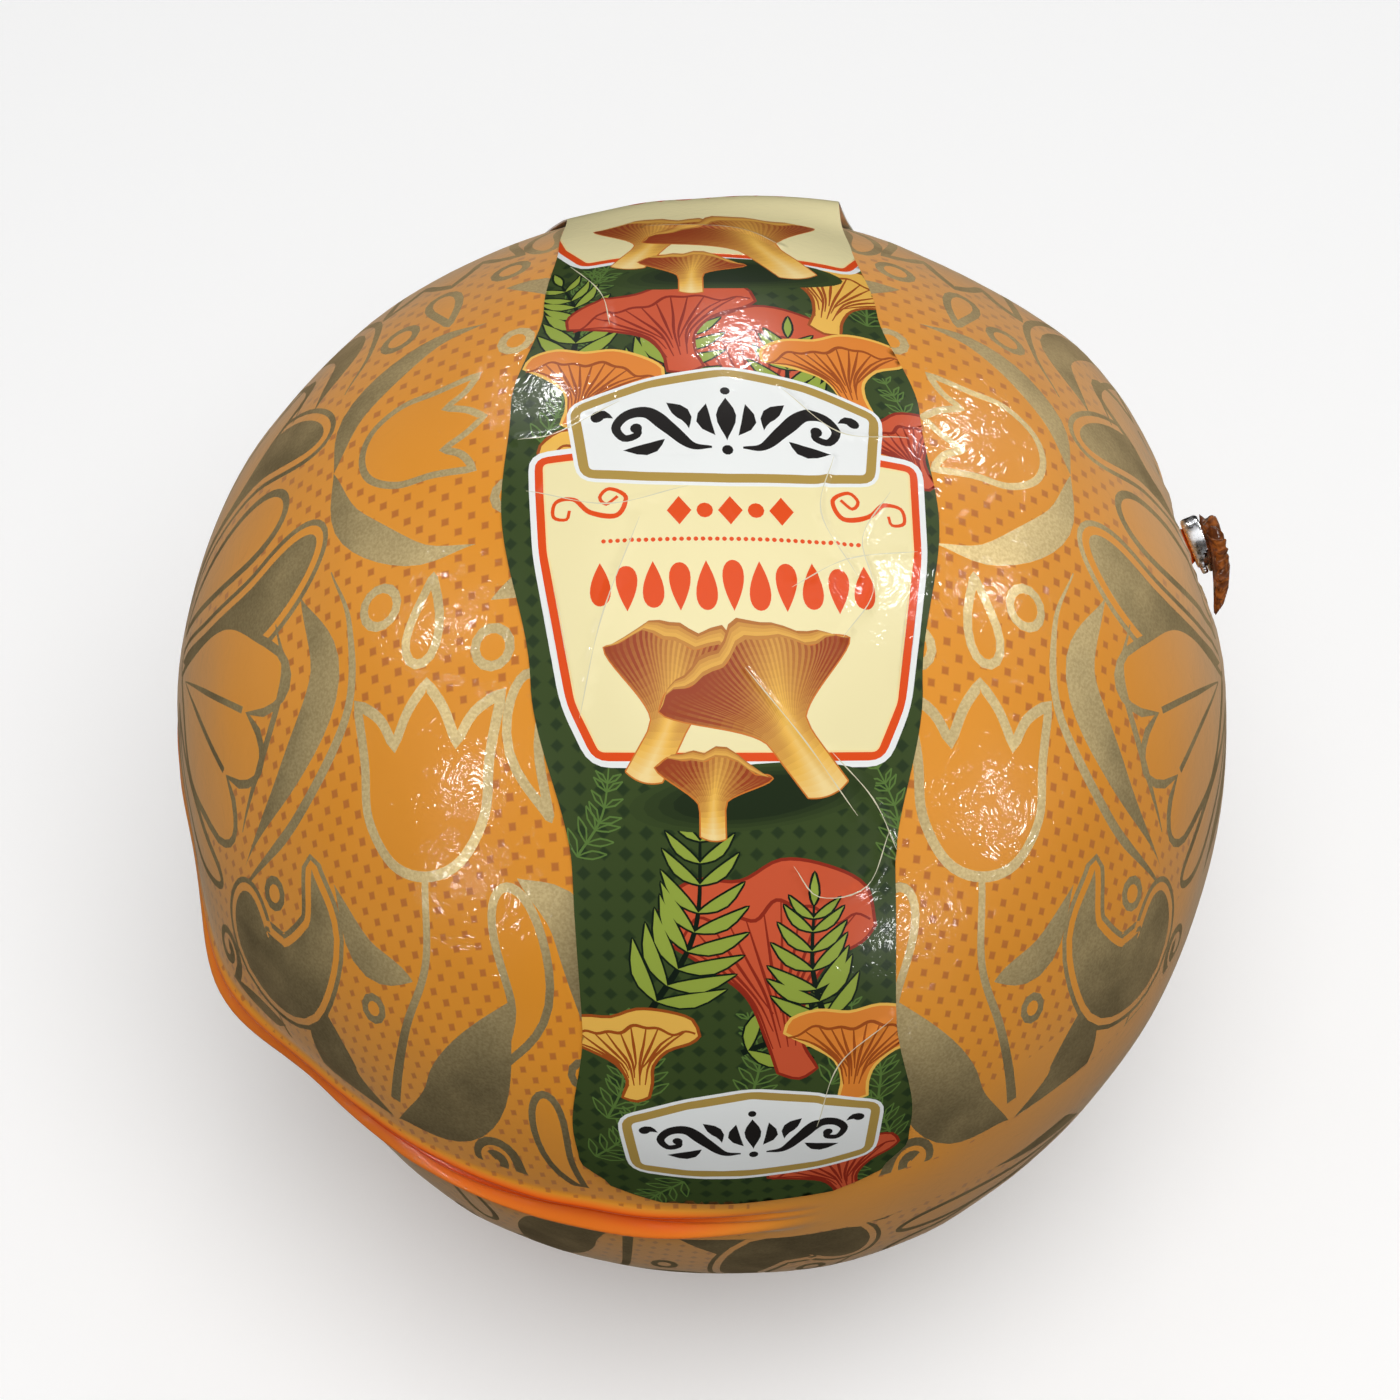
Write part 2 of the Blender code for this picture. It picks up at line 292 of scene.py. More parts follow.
class FilmSettings(bpy.types.PropertyGroup):
    """Sizes and colours of the printed film"""

    base: shade("Film", colour(226, 146, 42), "Colour of the film")
    sheen: shade("Film highlights", colour(232, 154, 58), "Paler colour where the film is thin")
    dots: shade("Dots", colour(186, 108, 50), "Colour of the small printed squares")
    seal: shade("Seal", colour(236, 84, 14), "Colour of the film where it is folded double")
    tail: shade("Tail", colour(162, 92, 38), "Colour of the many layers in the tail")
    tail_dark: shade("Tail folds", colour(92, 48, 22), "Streaks in the folds of the tail")
    # Painted reflection: a pale colour mixed into the film where it is seen edge on, in place of
    # the pale surroundings it reflects
    rim: shade("Rim", colour(248, 212, 168), "Paler look of the film where it is seen edge on")
    haze: share_of("Rim strength", 0.92, "How strongly the film pales where it is seen edge on")
    pleat: shade("Pleats", colour(238, 190, 140), "Stretched film round the clip")
    ink: shade("Ink", colour(176, 158, 114), "Colour of the metallic ink")
    ink_dark: shade("Ink shade", colour(138, 118, 78), "Darker grain of the metallic ink")
    cell: length("Dot pitch", 3.7, "Width of one cell of the pattern of squares")
    dot: length("Dot size", 1.0, "Width of one small square")
    roughness: share_of("Roughness", 0.36, "Roughness of the film")


class LabelSettings(bpy.types.PropertyGroup):
    """Sizes and colours of the printed label"""

    green: shade("Green", colour(60, 76, 38), "Ground colour of the label")
    diamond: shade("Diamonds", colour(42, 58, 32), "Small diamonds on the green")
    cream: shade("Cream", colour(240, 228, 176), "Colour of the panel")
    white: shade("White", colour(236, 238, 236), "Colour of the plates")
    worn: shade("Worn print", colour(214, 208, 180), "Print worn off along the creases")
    border: shade("Border", colour(176, 146, 74), "Gold border of the plates")
    accent: shade("Accent", colour(226, 78, 24), "Border and small ornaments of the panel")
    black: shade("Black", colour(34, 31, 30), "Scrolls on the plates")
    coral: shade("Coral", colour(206, 88, 54), "Coral mushrooms")
    rust: shade("Rust", colour(146, 44, 26), "Ribs and edges of the coral mushrooms")
    orange: shade("Orange", colour(226, 134, 52), "Orange mushrooms")
    brown: shade("Brown", colour(160, 78, 28), "Ribs of the orange mushrooms and dark edges")
    yellow: shade("Yellow", colour(238, 186, 84), "Yellow mushrooms and pale edges")
    pale: shade("Pale", colour(246, 222, 160), "Highlights of the mushrooms")
    lime: shade("Lime", colour(148, 166, 66), "Light leaves")
    moss: shade("Moss", colour(92, 122, 58), "Fine pale lines of the dark leaves")
    night: shade("Night", colour(20, 32, 22), "Edges of the leaves")
    thickness: length("Thickness", 0.22, "Thickness of the label")
    cell: length("Diamond pitch", 3.7, "Width of one cell of the pattern of diamonds")
    dot: length("Diamond size", 1.2, "Width of one small diamond")
    roughness: share_of("Roughness", 0.34, "Roughness of the label")


class ClipSettings(bpy.types.PropertyGroup):
    """Sizes and colour of the metal clip"""

    metal: shade("Metal", (0.80, 0.81, 0.83), "Colour of the metal")
    wire: length("Wire thickness", 1.0, "Thickness of the flat wire")
    width: length("Wire width", 2.0, "Width of the flat wire")
    roughness: share_of("Roughness", 0.24, "Roughness of the metal")


class StageSettings(bpy.types.PropertyGroup):
    """Floor, lights and camera"""

    floor: shade("Floor", (0.88, 0.88, 0.88), "Colour of the floor")
    glow: share_of("Floor glow", 0.16, "Light that the floor gives off towards the camera")
    key: FloatProperty(
        name="Key light", description="Power of the large soft light", unit="POWER", min=0,
        default=8.0,
    )
    room: share_of("Room light", 0.42, "Strength of the light from all round")
    lens: FloatProperty(
        name="Lens", description="Focal length of the camera", unit="CAMERA", default=80.64
    )


def bell(distance, spread):
    """1 at no distance, falling smoothly to 0 over about two spreads."""
    return np.exp(-((distance / spread) ** 2))


def smooth(low, high, value):
    """0 below low, 1 above high and an even ramp between them."""
    t = np.clip((value - low) / (high - low), 0, 1)
    return t * t * (3 - 2 * t)


def direction(azimuth, elevation):
    """Unit vectors for azimuths, turned from +X towards +Y, and elevations."""
    a = np.radians(azimuth)
    e = np.radians(elevation)
    return np.stack([np.cos(a) * np.cos(e), np.sin(a) * np.cos(e), np.sin(e) + 0 * a], axis=-1)


def unit(vectors):
    """The vectors at length 1."""
    return vectors / np.linalg.norm(vectors, axis=-1, keepdims=True)


def angle_from(n, axis):
    """Degrees between each direction and an axis."""
    return np.degrees(np.arccos(np.clip(n @ axis, -1, 1)))


GATHER_OUT = direction(GATHER_AZIMUTH, GATHER_ELEVATION)
GATHER_LONG = unit(TAIL_DROOP - GATHER_OUT * (TAIL_DROOP @ GATHER_OUT))
GATHER_SHORT = np.cross(GATHER_OUT, GATHER_LONG)
GATHER_ORIGIN = BALL_CENTRE + GATHER_OUT * BALL_RADIUS


def along_seal(azimuth):
    """Degrees along the seal: 0 at the front, 90 at the left, 180 at the back."""
    return (-90 - azimuth + 90) % 360 - 90


def seal_line(turn):
    """Elevation of the seal at a place along it."""
    dip_at, dip_spread, dip = SEAL_DIP
    rise_at, rise_spread, rise = SEAL_RISE
    return (
        SEAL_HEIGHT
        + dip * bell(turn - dip_at, dip_spread)
        + rise * bell(turn - rise_at, rise_spread)
    )


def seal_strength(turn):
    """How fully the seal stands at a place along it, from 0 to 1."""
    start, end = SEAL_ENDS
    thin_at, thin_spread, thinning = SEAL_THIN
    rises = smooth(start - SEAL_FADE, start + SEAL_FADE, turn)
    falls = 1 - smooth(end - SEAL_FADE, end + SEAL_FADE, turn)
    return rises * falls * (1 - thinning * bell(turn - thin_at, thin_spread))


def below_seal(azimuth, elevation):
    """Millimetres below the seal's line."""
    return np.radians(seal_line(along_seal(azimuth)) - elevation) * BALL_RADIUS


def seal_relief(azimuth, elevation):
    """Height of the folded seal above the ball."""
    turn = along_seal(azimuth)
    below = below_seal(azimuth, elevation)
    height = 0 * below
    for number, (at, half, rise, wander) in enumerate(SEAL_FOLDS):
        stray = wander * np.sin(np.radians(turn * (5 + 3 * number)) + number)
        swell = 1 + 0.18 * np.sin(np.radians(turn * (9 - number)) + 2 * number)
        height += rise * swell * bell(below - at - stray, half)
    return seal_strength(turn) * height


def slack_waves():
    """Seeded directions and phases of the film's soft unevenness."""
    seeded = np.random.default_rng(SLACK_SEED)
    waves = []
    for count in SLACK_WAVES:
        for _ in range(WAVES_OF_EACH):
            waves.append((unit(seeded.normal(size=3)) * count, seeded.uniform(0, 2 * math.pi)))
    return waves


SLACK = slack_waves()


def slack(n):
    """Soft unevenness of the film."""
    height = np.zeros(len(n))
    for wave, phase in SLACK:
        height += np.sin(n @ wave + phase) * SLACK_WAVES[0] / np.linalg.norm(wave)
    return height * SLACK_HEIGHT


def pleats(n, away):
    """Pleats of the film that run into the gather."""
    around = np.arctan2(n @ GATHER_SHORT, n @ GATHER_LONG)
    distance = np.radians(away) * BALL_RADIUS
    fine = 0.5 - np.abs(np.sin(PLEATS / 2 * around + 0.35 * np.sin(3 * around)))
    broad = 0.8 * np.cos(9 * around + 1.3) * bell(distance - 10, 7)
    fade = np.exp(-np.maximum(0, distance - GATHER_HOLE) / PLEAT_REACH)
    return PLEAT_HEIGHT * (fine + broad) * fade * (1 - smooth(*PLEAT_END, distance))


def film_radius(n):
    """Distance of the film from the ball's centre in each direction."""
    azimuth = np.degrees(np.arctan2(n[:, 1], n[:, 0]))
    elevation = np.degrees(np.arcsin(np.clip(n[:, 2], -1, 1)))
    radius = BALL_RADIUS + seal_relief(azimuth, elevation) + slack(n)
    for swell_azimuth, swell_elevation, spread, height in SWELLS:
        away = angle_from(n, direction(swell_azimuth, swell_elevation))
        radius += height * bell(away, spread)
    away = angle_from(n, GATHER_OUT)
    return radius - DIMPLE_DEPTH * bell(away, DIMPLE_SPREAD) + pleats(n, away)


def film_points(n, lift=0.0):
    """Points of the film, raised by lift and never below the rest plane."""
    points = BALL_CENTRE + n * (film_radius(n) + lift)[:, None]
    points[:, 2] = np.maximum(points[:, 2], 0)
    return points


def film_normals(n):
    """The film's normals, from its slope to each side."""
    step = FILM_SLOPE_STEP
    side = unit(np.cross(n, np.where(np.abs(n[:, 2:3]) < 0.9, [[0, 0, 1.0]], [[1.0, 0, 0]])))
    other = np.cross(n, side)
    first = film_points(unit(n + side * step)) - film_points(unit(n - side * step))
    second = film_points(unit(n + other * step)) - film_points(unit(n - other * step))
    return unit(np.cross(first, second))


# Flat outlines for printing, as rows of x and y in millimetres


def curve(points, step=1.2):
    """A smooth line through a few points."""
    p = np.array(points, float)
    p = np.vstack([2 * p[0] - p[1], p, 2 * p[-1] - p[-2]])
    line = []
    for a, b, c, d in zip(p, p[1:], p[2:], p[3:]):
        count = max(1, math.ceil(np.hypot(*(c - b)) / step))
        t = np.arange(count)[:, None] / count
        bend = a - 2.5 * b + 2 * c - d / 2 + t * (1.5 * (b - c) + (d - a) / 2)
        line.append(b + t * ((c - a) / 2 + t * bend))
    return np.vstack([*line, p[-2][None]])


def outline(*runs):
    """A closed outline of smooth runs that meet in corners."""
    return np.vstack([curve(run)[:-1] for run in runs])


def circle(radius, step=1.1):
    """A closed circle."""
    count = max(10, int(2 * math.pi * radius / step))
    a = np.linspace(0, 2 * math.pi, count, endpoint=False)
    return np.column_stack([np.cos(a), np.sin(a)]) * radius


def sideways(line, closed=False):
    """Unit vectors square to a line at each of its points."""
    along = np.roll(line, -1, 0) - np.roll(line, 1, 0) if closed else np.gradient(line, axis=0)
    along = along / np.maximum(np.hypot(*along.T), 1e-6)[:, None]
    return np.column_stack([-along[:, 1], along[:, 0]])


def run_along(line):
    """Distance along a line at each of its points."""
    return np.concatenate([[0], np.cumsum(np.hypot(*np.diff(line, axis=0).T))])


def stroke(line, widths, kind="ink", closed=False):
    """Four-sided pieces along a line. Its width eases through the widths given."""
    line = np.asarray(line, float)
    run = run_along(line)
    half = np.interp(run / run[-1], np.linspace(0, 1, len(widths)), widths)[:, None] / 2
    side = sideways(line, closed) * half
    left = line + side
    right = line - side
    if closed:
        left = np.vstack([left, left[:1]])
        right = np.vstack([right, right[:1]])
    return [(kind, np.array(piece)) for piece in zip(left, left[1:], right[1:], right)]


def grow(shape, margin):
    """A closed outline moved outward."""
    ahead = np.roll(shape, -1, 0)
    area = np.sum(shape[:, 0] * ahead[:, 1] - ahead[:, 0] * shape[:, 1])
    return shape - sideways(shape, True) * margin * (1 if area > 0 else -1)


def edged(shape):
    """A shape left plain with a line of ink along its edge."""
    return [("plain", shape), *stroke(shape, (INK_LINE, INK_LINE), closed=True)]


def contoured(shape):
    """A solid shape of ink with a thin line round it."""
    rim = grow(shape, CONTOUR_GAP + CONTOUR_LINE)
    return [("ink", rim), ("plain", grow(shape, CONTOUR_GAP)), ("ink", shape)]


def follow(shape, path):
    """Bends an upright shape so that its height runs along a path."""
    path = curve(path, 0.8)
    run = run_along(path)
    at = np.clip(shape[:, 1], 0, 1) * run[-1]
    side = sideways(path)
    place_at = np.column_stack([np.interp(at, run, path[:, i]) for i in (0, 1)])
    out = np.column_stack([np.interp(at, run, side[:, i]) for i in (0, 1)])
    return place_at - out * shape[:, :1]


def tear(width, sharp, points=26):
    """A teardrop one unit high: its point at the bottom, its round end on top."""
    s = np.linspace(0, 2 * math.pi, points, endpoint=False)
    x = np.sin(s) * np.abs(np.sin(s / 2)) ** sharp
    return np.column_stack([x / np.abs(x).max() * width / 2, (1 - np.cos(s)) / 2])


def leaf(width, fullness, points):
    """A leaf one unit high, pointed at both ends and widest at its fullness."""
    y = (1 - np.cos(np.linspace(0, math.pi, points // 2 + 1))) / 2
    power = math.log(0.5) / math.log(fullness)
    x = np.sin(math.pi * y**power) ** 1.15 * width / 2
    return np.vstack([np.column_stack([x, y])[:-1], np.column_stack([-x, y])[:0:-1]])


def tear_on(path, width, sharp=1.3):
    """A teardrop bent along a path."""
    return follow(tear(width, sharp, max(18, int(run_along(curve(path))[-1] * 1.5))), path)


def leaf_on(path, width, fullness=0.45):
    """A leaf bent along a path."""
    return follow(leaf(width, fullness, max(16, int(run_along(curve(path))[-1] * 1.4))), path)


def tulip():
    """A tulip with a pointed middle petal and two flicked side petals."""
    petal = [(0, 12), (-2.4, 9.0), (-4.3, 5.0)]
    flick = [(-4.3, 5.0), (-6.4, 8.4), (-9.8, 10.6)]
    side = [(-9.8, 10.6), (-8.7, 3.5), (-8.3, -3.0), (-5.0, -8.3), (0, -10)]

    def other(run):
        return [(-x, y) for x, y in reversed(run)]

    return outline(petal, flick, side + other(side)[1:], other(flick), other(petal))


def spiral(radius, turns, tail, wide):
    """A wound scroll whose outer end runs on into a tail."""
    t = np.linspace(0, 1, max(16, int(radius * turns * 4)))
    r = radius * (0.2 + 0.8 * t)
    a = 2 * math.pi * turns * t
    wound = np.column_stack([r * np.cos(a), r * np.sin(a)])
    run = np.array([-math.sin(a[-1]), math.cos(a[-1])])
    out = np.array([math.cos(a[-1]), math.sin(a[-1])])
    end = [wound[-1] + run * tail * s + out * tail * 0.25 * s * s for s in (0.35, 0.7, 1.0)]
    line = np.vstack([wound, curve([wound[-1], *end])[1:]])
    return stroke(line, (wide * 1.4, wide * 0.9, wide * 1.2, wide * 1.7, 0.2))


def fan(span, spread, lobes):
    """A scalloped petal that opens upward from its point, with ribs inside."""
    turns = np.radians(np.linspace(-spread / 2, spread / 2, lobes + 1))
    rim = []
    for low, high in zip(turns, turns[1:]):
        s = np.linspace(0, 1, 8, endpoint=False)
        a = low + (high - low) * s
        r = span * (0.82 + 0.18 * np.sin(math.pi * s) ** 0.7)
        rim.append(np.column_stack([r * np.sin(a), r * np.cos(a)]))
    x = math.sin(turns[-1]) * span * 0.82
    y = math.cos(turns[-1]) * span * 0.82
    side = curve([(x, y), (x * 0.85, y * 0.6), (x * 0.3, y * 0.22), (0, 0)])[:-1]
    made = edged(np.vstack([*rim, side, side[::-1][:-1] * (-1, 1)]))
    for a in turns[1:-1]:
        top = np.array([math.sin(a), math.cos(a)]) * span
        rib = curve([(0, span * 0.12), top * (0.35, 0.45), top * 0.78])
        made += stroke(rib, (0.2, 0.9, 1.0))
    return made


def place(shapes, x=0.0, y=0.0, turn=0.0, size=1.0):
    """Shapes sized, turned counterclockwise and moved."""
    c = math.cos(math.radians(turn)) * size
    s = math.sin(math.radians(turn)) * size
    return [(kind, piece @ np.array([[c, s], [-s, c]]) + (x, y)) for kind, piece in shapes]


def mirrored(shapes, x, y):
    """Shapes flipped along x or y where that is -1."""
    return [(kind, piece * (x, y)) for kind, piece in shapes]


def ornament_quarter():
    """Flowers, leaves and scrolls on the front right quarter of one half of the film."""
    made = []

    def solid(path, width, fullness=0.45):
        made.append(("ink", leaf_on(path, width, fullness)))

    def drop(path, width):
        made.extend(edged(tear_on(path, width)))

    def comma(path, width, sharp):
        made.extend(contoured(tear_on(path, width, sharp)))

    def ring(radius, x, y):
        made.extend(place(edged(circle(radius)), x, y))

    def line(path, *widths):
        made.extend(stroke(curve(path), widths))

    # Leaves that meet near the right edge
    drop([(93, 0), (80, 0), (60, 0)], 11)
    comma([(94, -5), (81, -13), (67, -15), (54, -9)], 9.5, 0.9)
    made.extend(place(fan(41, 52, 3), 95, -7, 140))
    drop([(99, -10), (97, -26), (93, -40), (88, -49)], 6.4)
    solid([(101, -9), (106, -24), (103, -42)], 7.5)
    # Long scrolls between the leaves and the large tulip
    solid([(78, -50), (62, -41), (53, -30), (57, -17)], 6.2, 0.6)
    line([(81, -53), (63, -48), (50, -37), (48, -25), (51, -16)], 0.2, 1.7, 1.6, 1.2, 0.2)
    line([(76, -45), (66, -35), (61, -27), (62, -19)], 0.2, 1.4, 1.2, 0.2)
    # Small tulip that faces the middle, with rings and drops
    solid([(51, 0), (48, -10), (38, -18), (29, -19)], 5.0)
    made.extend(place(edged(tulip()), 38, 0, 90, 0.82))
    ring(2.6, 43, -24)
    ring(2.0, 24.5, -13)
    drop([(35, -22), (36, -27), (38, -33)], 4.6)
    # Large tulip on a stem that grows from a pair of solid leaves
    line([(59, -93), (50, -81), (43, -72), (40, -60)], 2.2, 1.4, 1.1)
    solid([(46, -74), (54, -69), (57, -58)], 5.4, 0.4)
    made.extend(place(edged(tulip()), 38.5, -49, 8, 1.12))
    ring(2.4, 27, -33)
    drop([(34, -89), (26.5, -79), (28, -63)], 7.4)
    solid([(61, -97), (45, -95), (29, -78)], 14.5, 0.5)
    solid([(62, -97), (72, -88), (69, -71)], 12.5, 0.5)
    line([(62, -97), (78, -91), (87, -81), (86, -73)], 0.3, 2.3, 2.0, 0.3)
    ring(1.9, 55.5, -77)
    # Comma with a line round it
    comma([(61, -55), (63, -65), (74, -70), (83, -63), (80, -53)], 13.5, 1.1)
    ring(2.1, 71.5, -56)
    made.extend(place(spiral(4.6, 1.3, 15, 1.5), 96, -58, 150))
    # Scrolls towards the edge
    made.extend(place(spiral(5.0, 1.3, 17, 1.6), 41, -106, 75))
    drop([(23, -114), (27, -105), (27, -93)], 6.0)
    solid([(86, -76), (95, -70), (104, -59)], 6.0)
    solid([(66, -102), (76, -97), (85, -86)], 5.6)
    # Fillers beside the label
    drop([(20.5, -55), (23.5, -46), (22, -37)], 4.6)
    solid([(26, -62), (18.5, -69), (18, -84)], 6.4)
    solid([(27, -27), (20, -24), (17, -17)], 4.0)
    ring(1.9, 19.5, -90)
    return made


def ornament():
    """The ornament on one half of the film, the same in all four quarters."""
    quarter = ornament_quarter()
    right = quarter + mirrored(quarter, 1, -1)
    return right + mirrored(right, -1, 1)


def inside(points, shape):
    """Which of the points lie inside a closed outline."""
    x, y = points.T
    found = np.zeros(len(points), bool)
    for (ax, ay), (bx, by) in zip(shape, np.roll(shape, -1, 0)):
        crosses = (ay > y) != (by > y)
        if ay != by:
            found ^= crosses & (x < (bx - ax) * (y - ay) / (by - ay) + ax)
    return found


def flat_grid(boundary, spacing):
    """Staggered rows of points over a sheet."""
    low = boundary.min(0)
    high = boundary.max(0)
    columns = np.arange(low[0], high[0], spacing)
    grid = []
    for i, y in enumerate(np.arange(low[1], high[1], spacing * math.sqrt(3) / 2)):
        grid.append(np.column_stack([columns + spacing / 2 * (i % 2), np.full(len(columns), y)]))
    return np.vstack(grid)


def clear_of(points, others, gap):
    """The points that keep a gap to all the others."""
    tree = KDTree(len(others))
    for i, (x, y) in enumerate(others):
        tree.insert((x, y, 0), i)
    tree.balance()
    return np.array([p for p in points if tree.find((p[0], p[1], 0))[2] > gap])


def cut_sheet(boundary, shapes, spacing, extra=None, hole=None):
    """Triangulates a flat sheet along the outlines printed on it.

    Returns its points, its triangles and the number of the shape that shows on each, -1 if none.
    The points start with those of the boundary and of the hole.
    """
    outlines = [boundary, *([] if hole is None else [hole]), *(piece for _, piece in shapes)]
    lines = np.vstack(outlines)
    ends = np.cumsum([len(piece) for piece in outlines])
    edges = []
    for piece, end in zip(outlines, ends):
        start = end - len(piece)
        edges += [(start + i, start + (i + 1) % len(piece)) for i in range(len(piece))]
    grid = flat_grid(boundary, spacing)
    if extra is not None:
        grid = np.vstack([extra, clear_of(grid, extra, spacing * 0.5)])
    grid = clear_of(grid[inside(grid, boundary)], lines, spacing * 0.4)
    flat = [Vector(p) for p in lines] + [Vector(p) for p in grid]
    made = delaunay_2d_cdt(flat, edges, [], 0, WELD)
    points = np.array([(p.x, p.y) for p in made[0]])
    _, first, same = np.unique(
        np.round(points / WELD), axis=0, return_index=True, return_inverse=True
    )
    triangles = first[same.ravel()][np.array(made[2])]
    triangles = triangles[[len(set(corners)) == 3 for corners in triangles.tolist()]]
    middles = points[triangles].mean(1)
    kept = inside(middles, boundary)
    if hole is not None:
        kept &= ~inside(middles, hole)
    triangles = triangles[kept]
    middles = middles[kept]
    order = np.argsort(middles[:, 0])
    column = middles[order, 0]
    shown = np.full(len(triangles), -1)
    for number, (_, piece) in enumerate(shapes):
        low, high = piece.min(0), piece.max(0)
        near = order[np.searchsorted(column, low[0]):np.searchsorted(column, high[0])]
        near = near[(middles[near, 1] >= low[1]) & (middles[near, 1] <= high[1])]
        if len(near):
            shown[near[inside(middles[near], piece)]] = number
    used, triangles = np.unique(triangles, return_inverse=True)
    return points[used], triangles.reshape(-1, 3), shown


def upper_flat(n):
    """Place on the flat print of the upper half for each direction, measured from the top."""
    reach = np.arccos(np.clip(n[:, 2], -1, 1)) * BALL_RADIUS
    a = np.arctan2(n[:, 1], n[:, 0])
    return np.column_stack([np.cos(a), np.sin(a)]) * reach[:, None]


def lower_flat(n):
    """Place on the flat print of the lower half, measured from the bottom."""
    flat = upper_flat(n * (1, 1, -1))
    a = math.radians(LOWER_TURN)
    return flat @ np.array([[math.cos(a), math.sin(a)], [-math.sin(a), math.cos(a)]])


def from_flat(flat, half, turn=0.0):
    """Directions of places on the flat print. half is 1 for the upper and -1 for the lower."""
    reach = np.hypot(*flat.T) / BALL_RADIUS
    a = np.arctan2(flat[:, 1], flat[:, 0]) - math.radians(turn)
    return np.column_stack([
        np.sin(reach) * np.cos(a), np.sin(reach) * np.sin(a), half * np.cos(reach)
    ])


def seal_directions(offset):
    """Directions of one ring of the seal band, offset below its line."""
    azimuth = np.arange(SEAL_STEPS) * 360 / SEAL_STEPS
    elevation = seal_line(along_seal(azimuth)) - math.degrees(offset / BALL_RADIUS)
    return direction(azimuth, elevation)


def gather_directions(distance):
    """Directions of one ring round the gather."""
    a = np.linspace(0, 2 * math.pi, GATHER_STEPS, endpoint=False)[:, None]
    reach = distance / BALL_RADIUS
    ring = GATHER_LONG * np.cos(a) + GATHER_SHORT * np.sin(a)
    return GATHER_OUT * math.cos(reach) + ring * math.sin(reach)


def bare_crescent():
    """Unprinted film along the right edge of the upper print."""
    start, end = BARE_ENDS
    azimuth = np.radians(np.linspace(start, end, BARE_STEPS))
    share = smooth(start, start + BARE_FADE, np.degrees(azimuth))
    share = share * (1 - smooth(end - BARE_FADE, end, np.degrees(azimuth)))
    rim = BALL_RADIUS * math.pi / 2
    wave = BARE_WAVE * np.sin(azimuth * 7)
    inner = rim - (rim - BARE_RADIUS + wave) * np.clip(share, 0.02, 1)
    ring = np.column_stack([np.cos(azimuth), np.sin(azimuth)])
    return np.vstack([ring * (rim + 4), (ring * inner[:, None])[::-1]])


def fit_inside(shapes, boundary, keep_off=None):
    """Shapes held inside a sheet's round boundary and off the gather."""
    rim_angle = np.arctan2(boundary[:, 1], boundary[:, 0])
    order = np.argsort(rim_angle)
    rim_angle = rim_angle[order]
    rim_reach = np.hypot(*boundary.T)[order] - EDGE_GAP
    fitted = []
    for kind, piece in shapes:
        a = np.arctan2(piece[:, 1], piece[:, 0])
        reach = np.hypot(*piece.T)
        limit = np.interp(a, rim_angle, rim_reach, period=2 * math.pi)
        if np.all(reach >= limit):
            continue
        piece = piece * np.minimum(1, limit / np.maximum(reach, 1e-6))[:, None]
        if keep_off is not None:
            away = piece - keep_off
            distance = np.hypot(*away.T)
            if np.all(distance < GATHER_KEEP):
                continue
            push = np.maximum(1, GATHER_KEEP / np.maximum(distance, 1e-6))
            piece = keep_off + away * push[:, None]
        fitted.append((kind, piece))
    return fitted


def heading(line):
    """Counterclockwise turn from upright of a line at each of its points, in degrees."""
    along = np.gradient(line, axis=0)
    return np.degrees(np.arctan2(-along[:, 0], along[:, 1]))


def rounded(corners, radius, inset=0.0, steps=5):
    """A closed outline through corners given clockwise, moved inward and rounded."""
    p = np.array(corners, float)
    ahead = np.roll(p, -1, 0) - p
    ahead /= np.hypot(*ahead.T)[:, None]
    inward = np.column_stack([ahead[:, 1], -ahead[:, 0]])
    moved = []
    for i in range(len(p)):
        last = i - 1
        bisector = inward[last] + inward[i]
        moved.append(p[i] + bisector * inset / (1 + inward[last] @ inward[i]))
    p = np.array(moved)
    made = []
    for i in range(len(p)):
        back = p[i - 1] - p[i]
        on = p[(i + 1) % len(p)] - p[i]
        room = min(np.hypot(*back), np.hypot(*on)) * 0.48
        cut = min(max(radius - inset, 0.4), room)
        start = p[i] + back / np.hypot(*back) * cut
        end = p[i] + on / np.hypot(*on) * cut
        for t in np.linspace(0, 1, steps):
            made.append(start * (1 - t) ** 2 + 2 * p[i] * t * (1 - t) + end * t**2)
    return np.array(made)


def frond(path, pairs, span, width):
    """A stem with pairs of long pointed leaves that bend towards its tip."""
    line = curve(path, 0.9)
    turns = heading(line)
    made = stroke(line, (0.9, 0.6, 0.3), "night")
    blades = []
    for i in range(pairs):
        share = 0.08 + 0.86 * i / (pairs - 1)
        at = int(share * (len(line) - 1))
        size = 1 - 0.5 * share**1.6
        reach = span * size
        for side in (-1, 1):
            bent = leaf_on([
                (0, 0), (side * reach * 0.46, reach * 0.3), (side * reach * 0.86, reach * 0.78)
            ], width * size)
            made += place([("night", grow(bent, 0.26))], *line[at], turns[at])
            blades += place([("lime", bent)], *line[at], turns[at])
    tip = leaf(width * 0.55, 0.45, 14) * (1, span * 0.62)
    tip = [("night", grow(tip, 0.3)), ("lime", tip)]
    return made + blades + place(tip, *line[-1], turns[-1])


def fern(path, pairs, span):
    """A fern drawn with fine lines only."""
    line = curve(path, 1.1)
    turns = heading(line)
    made = stroke(line, (0.34, 0.26, 0.18), "moss")
    for i in range(pairs):
        share = 0.06 + 0.9 * i / (pairs - 1)
        at = int(share * (len(line) - 1))
        reach = span * (1 - 0.55 * share)
        for side in (-1, 1):
            tip = (side * reach * 0.86, reach * 0.72)
            blade = [(0, 0), (side * reach * 0.52, reach * 0.26), tip]
            back = [tip, (side * reach * 0.34, reach * 0.52), (0, 0)]
            for run in (blade, back):
                drawn = stroke(curve(run, 1.6), (0.2, 0.24, 0.14), "moss")
                made += place(drawn, *line[at], turns[at])
    return made


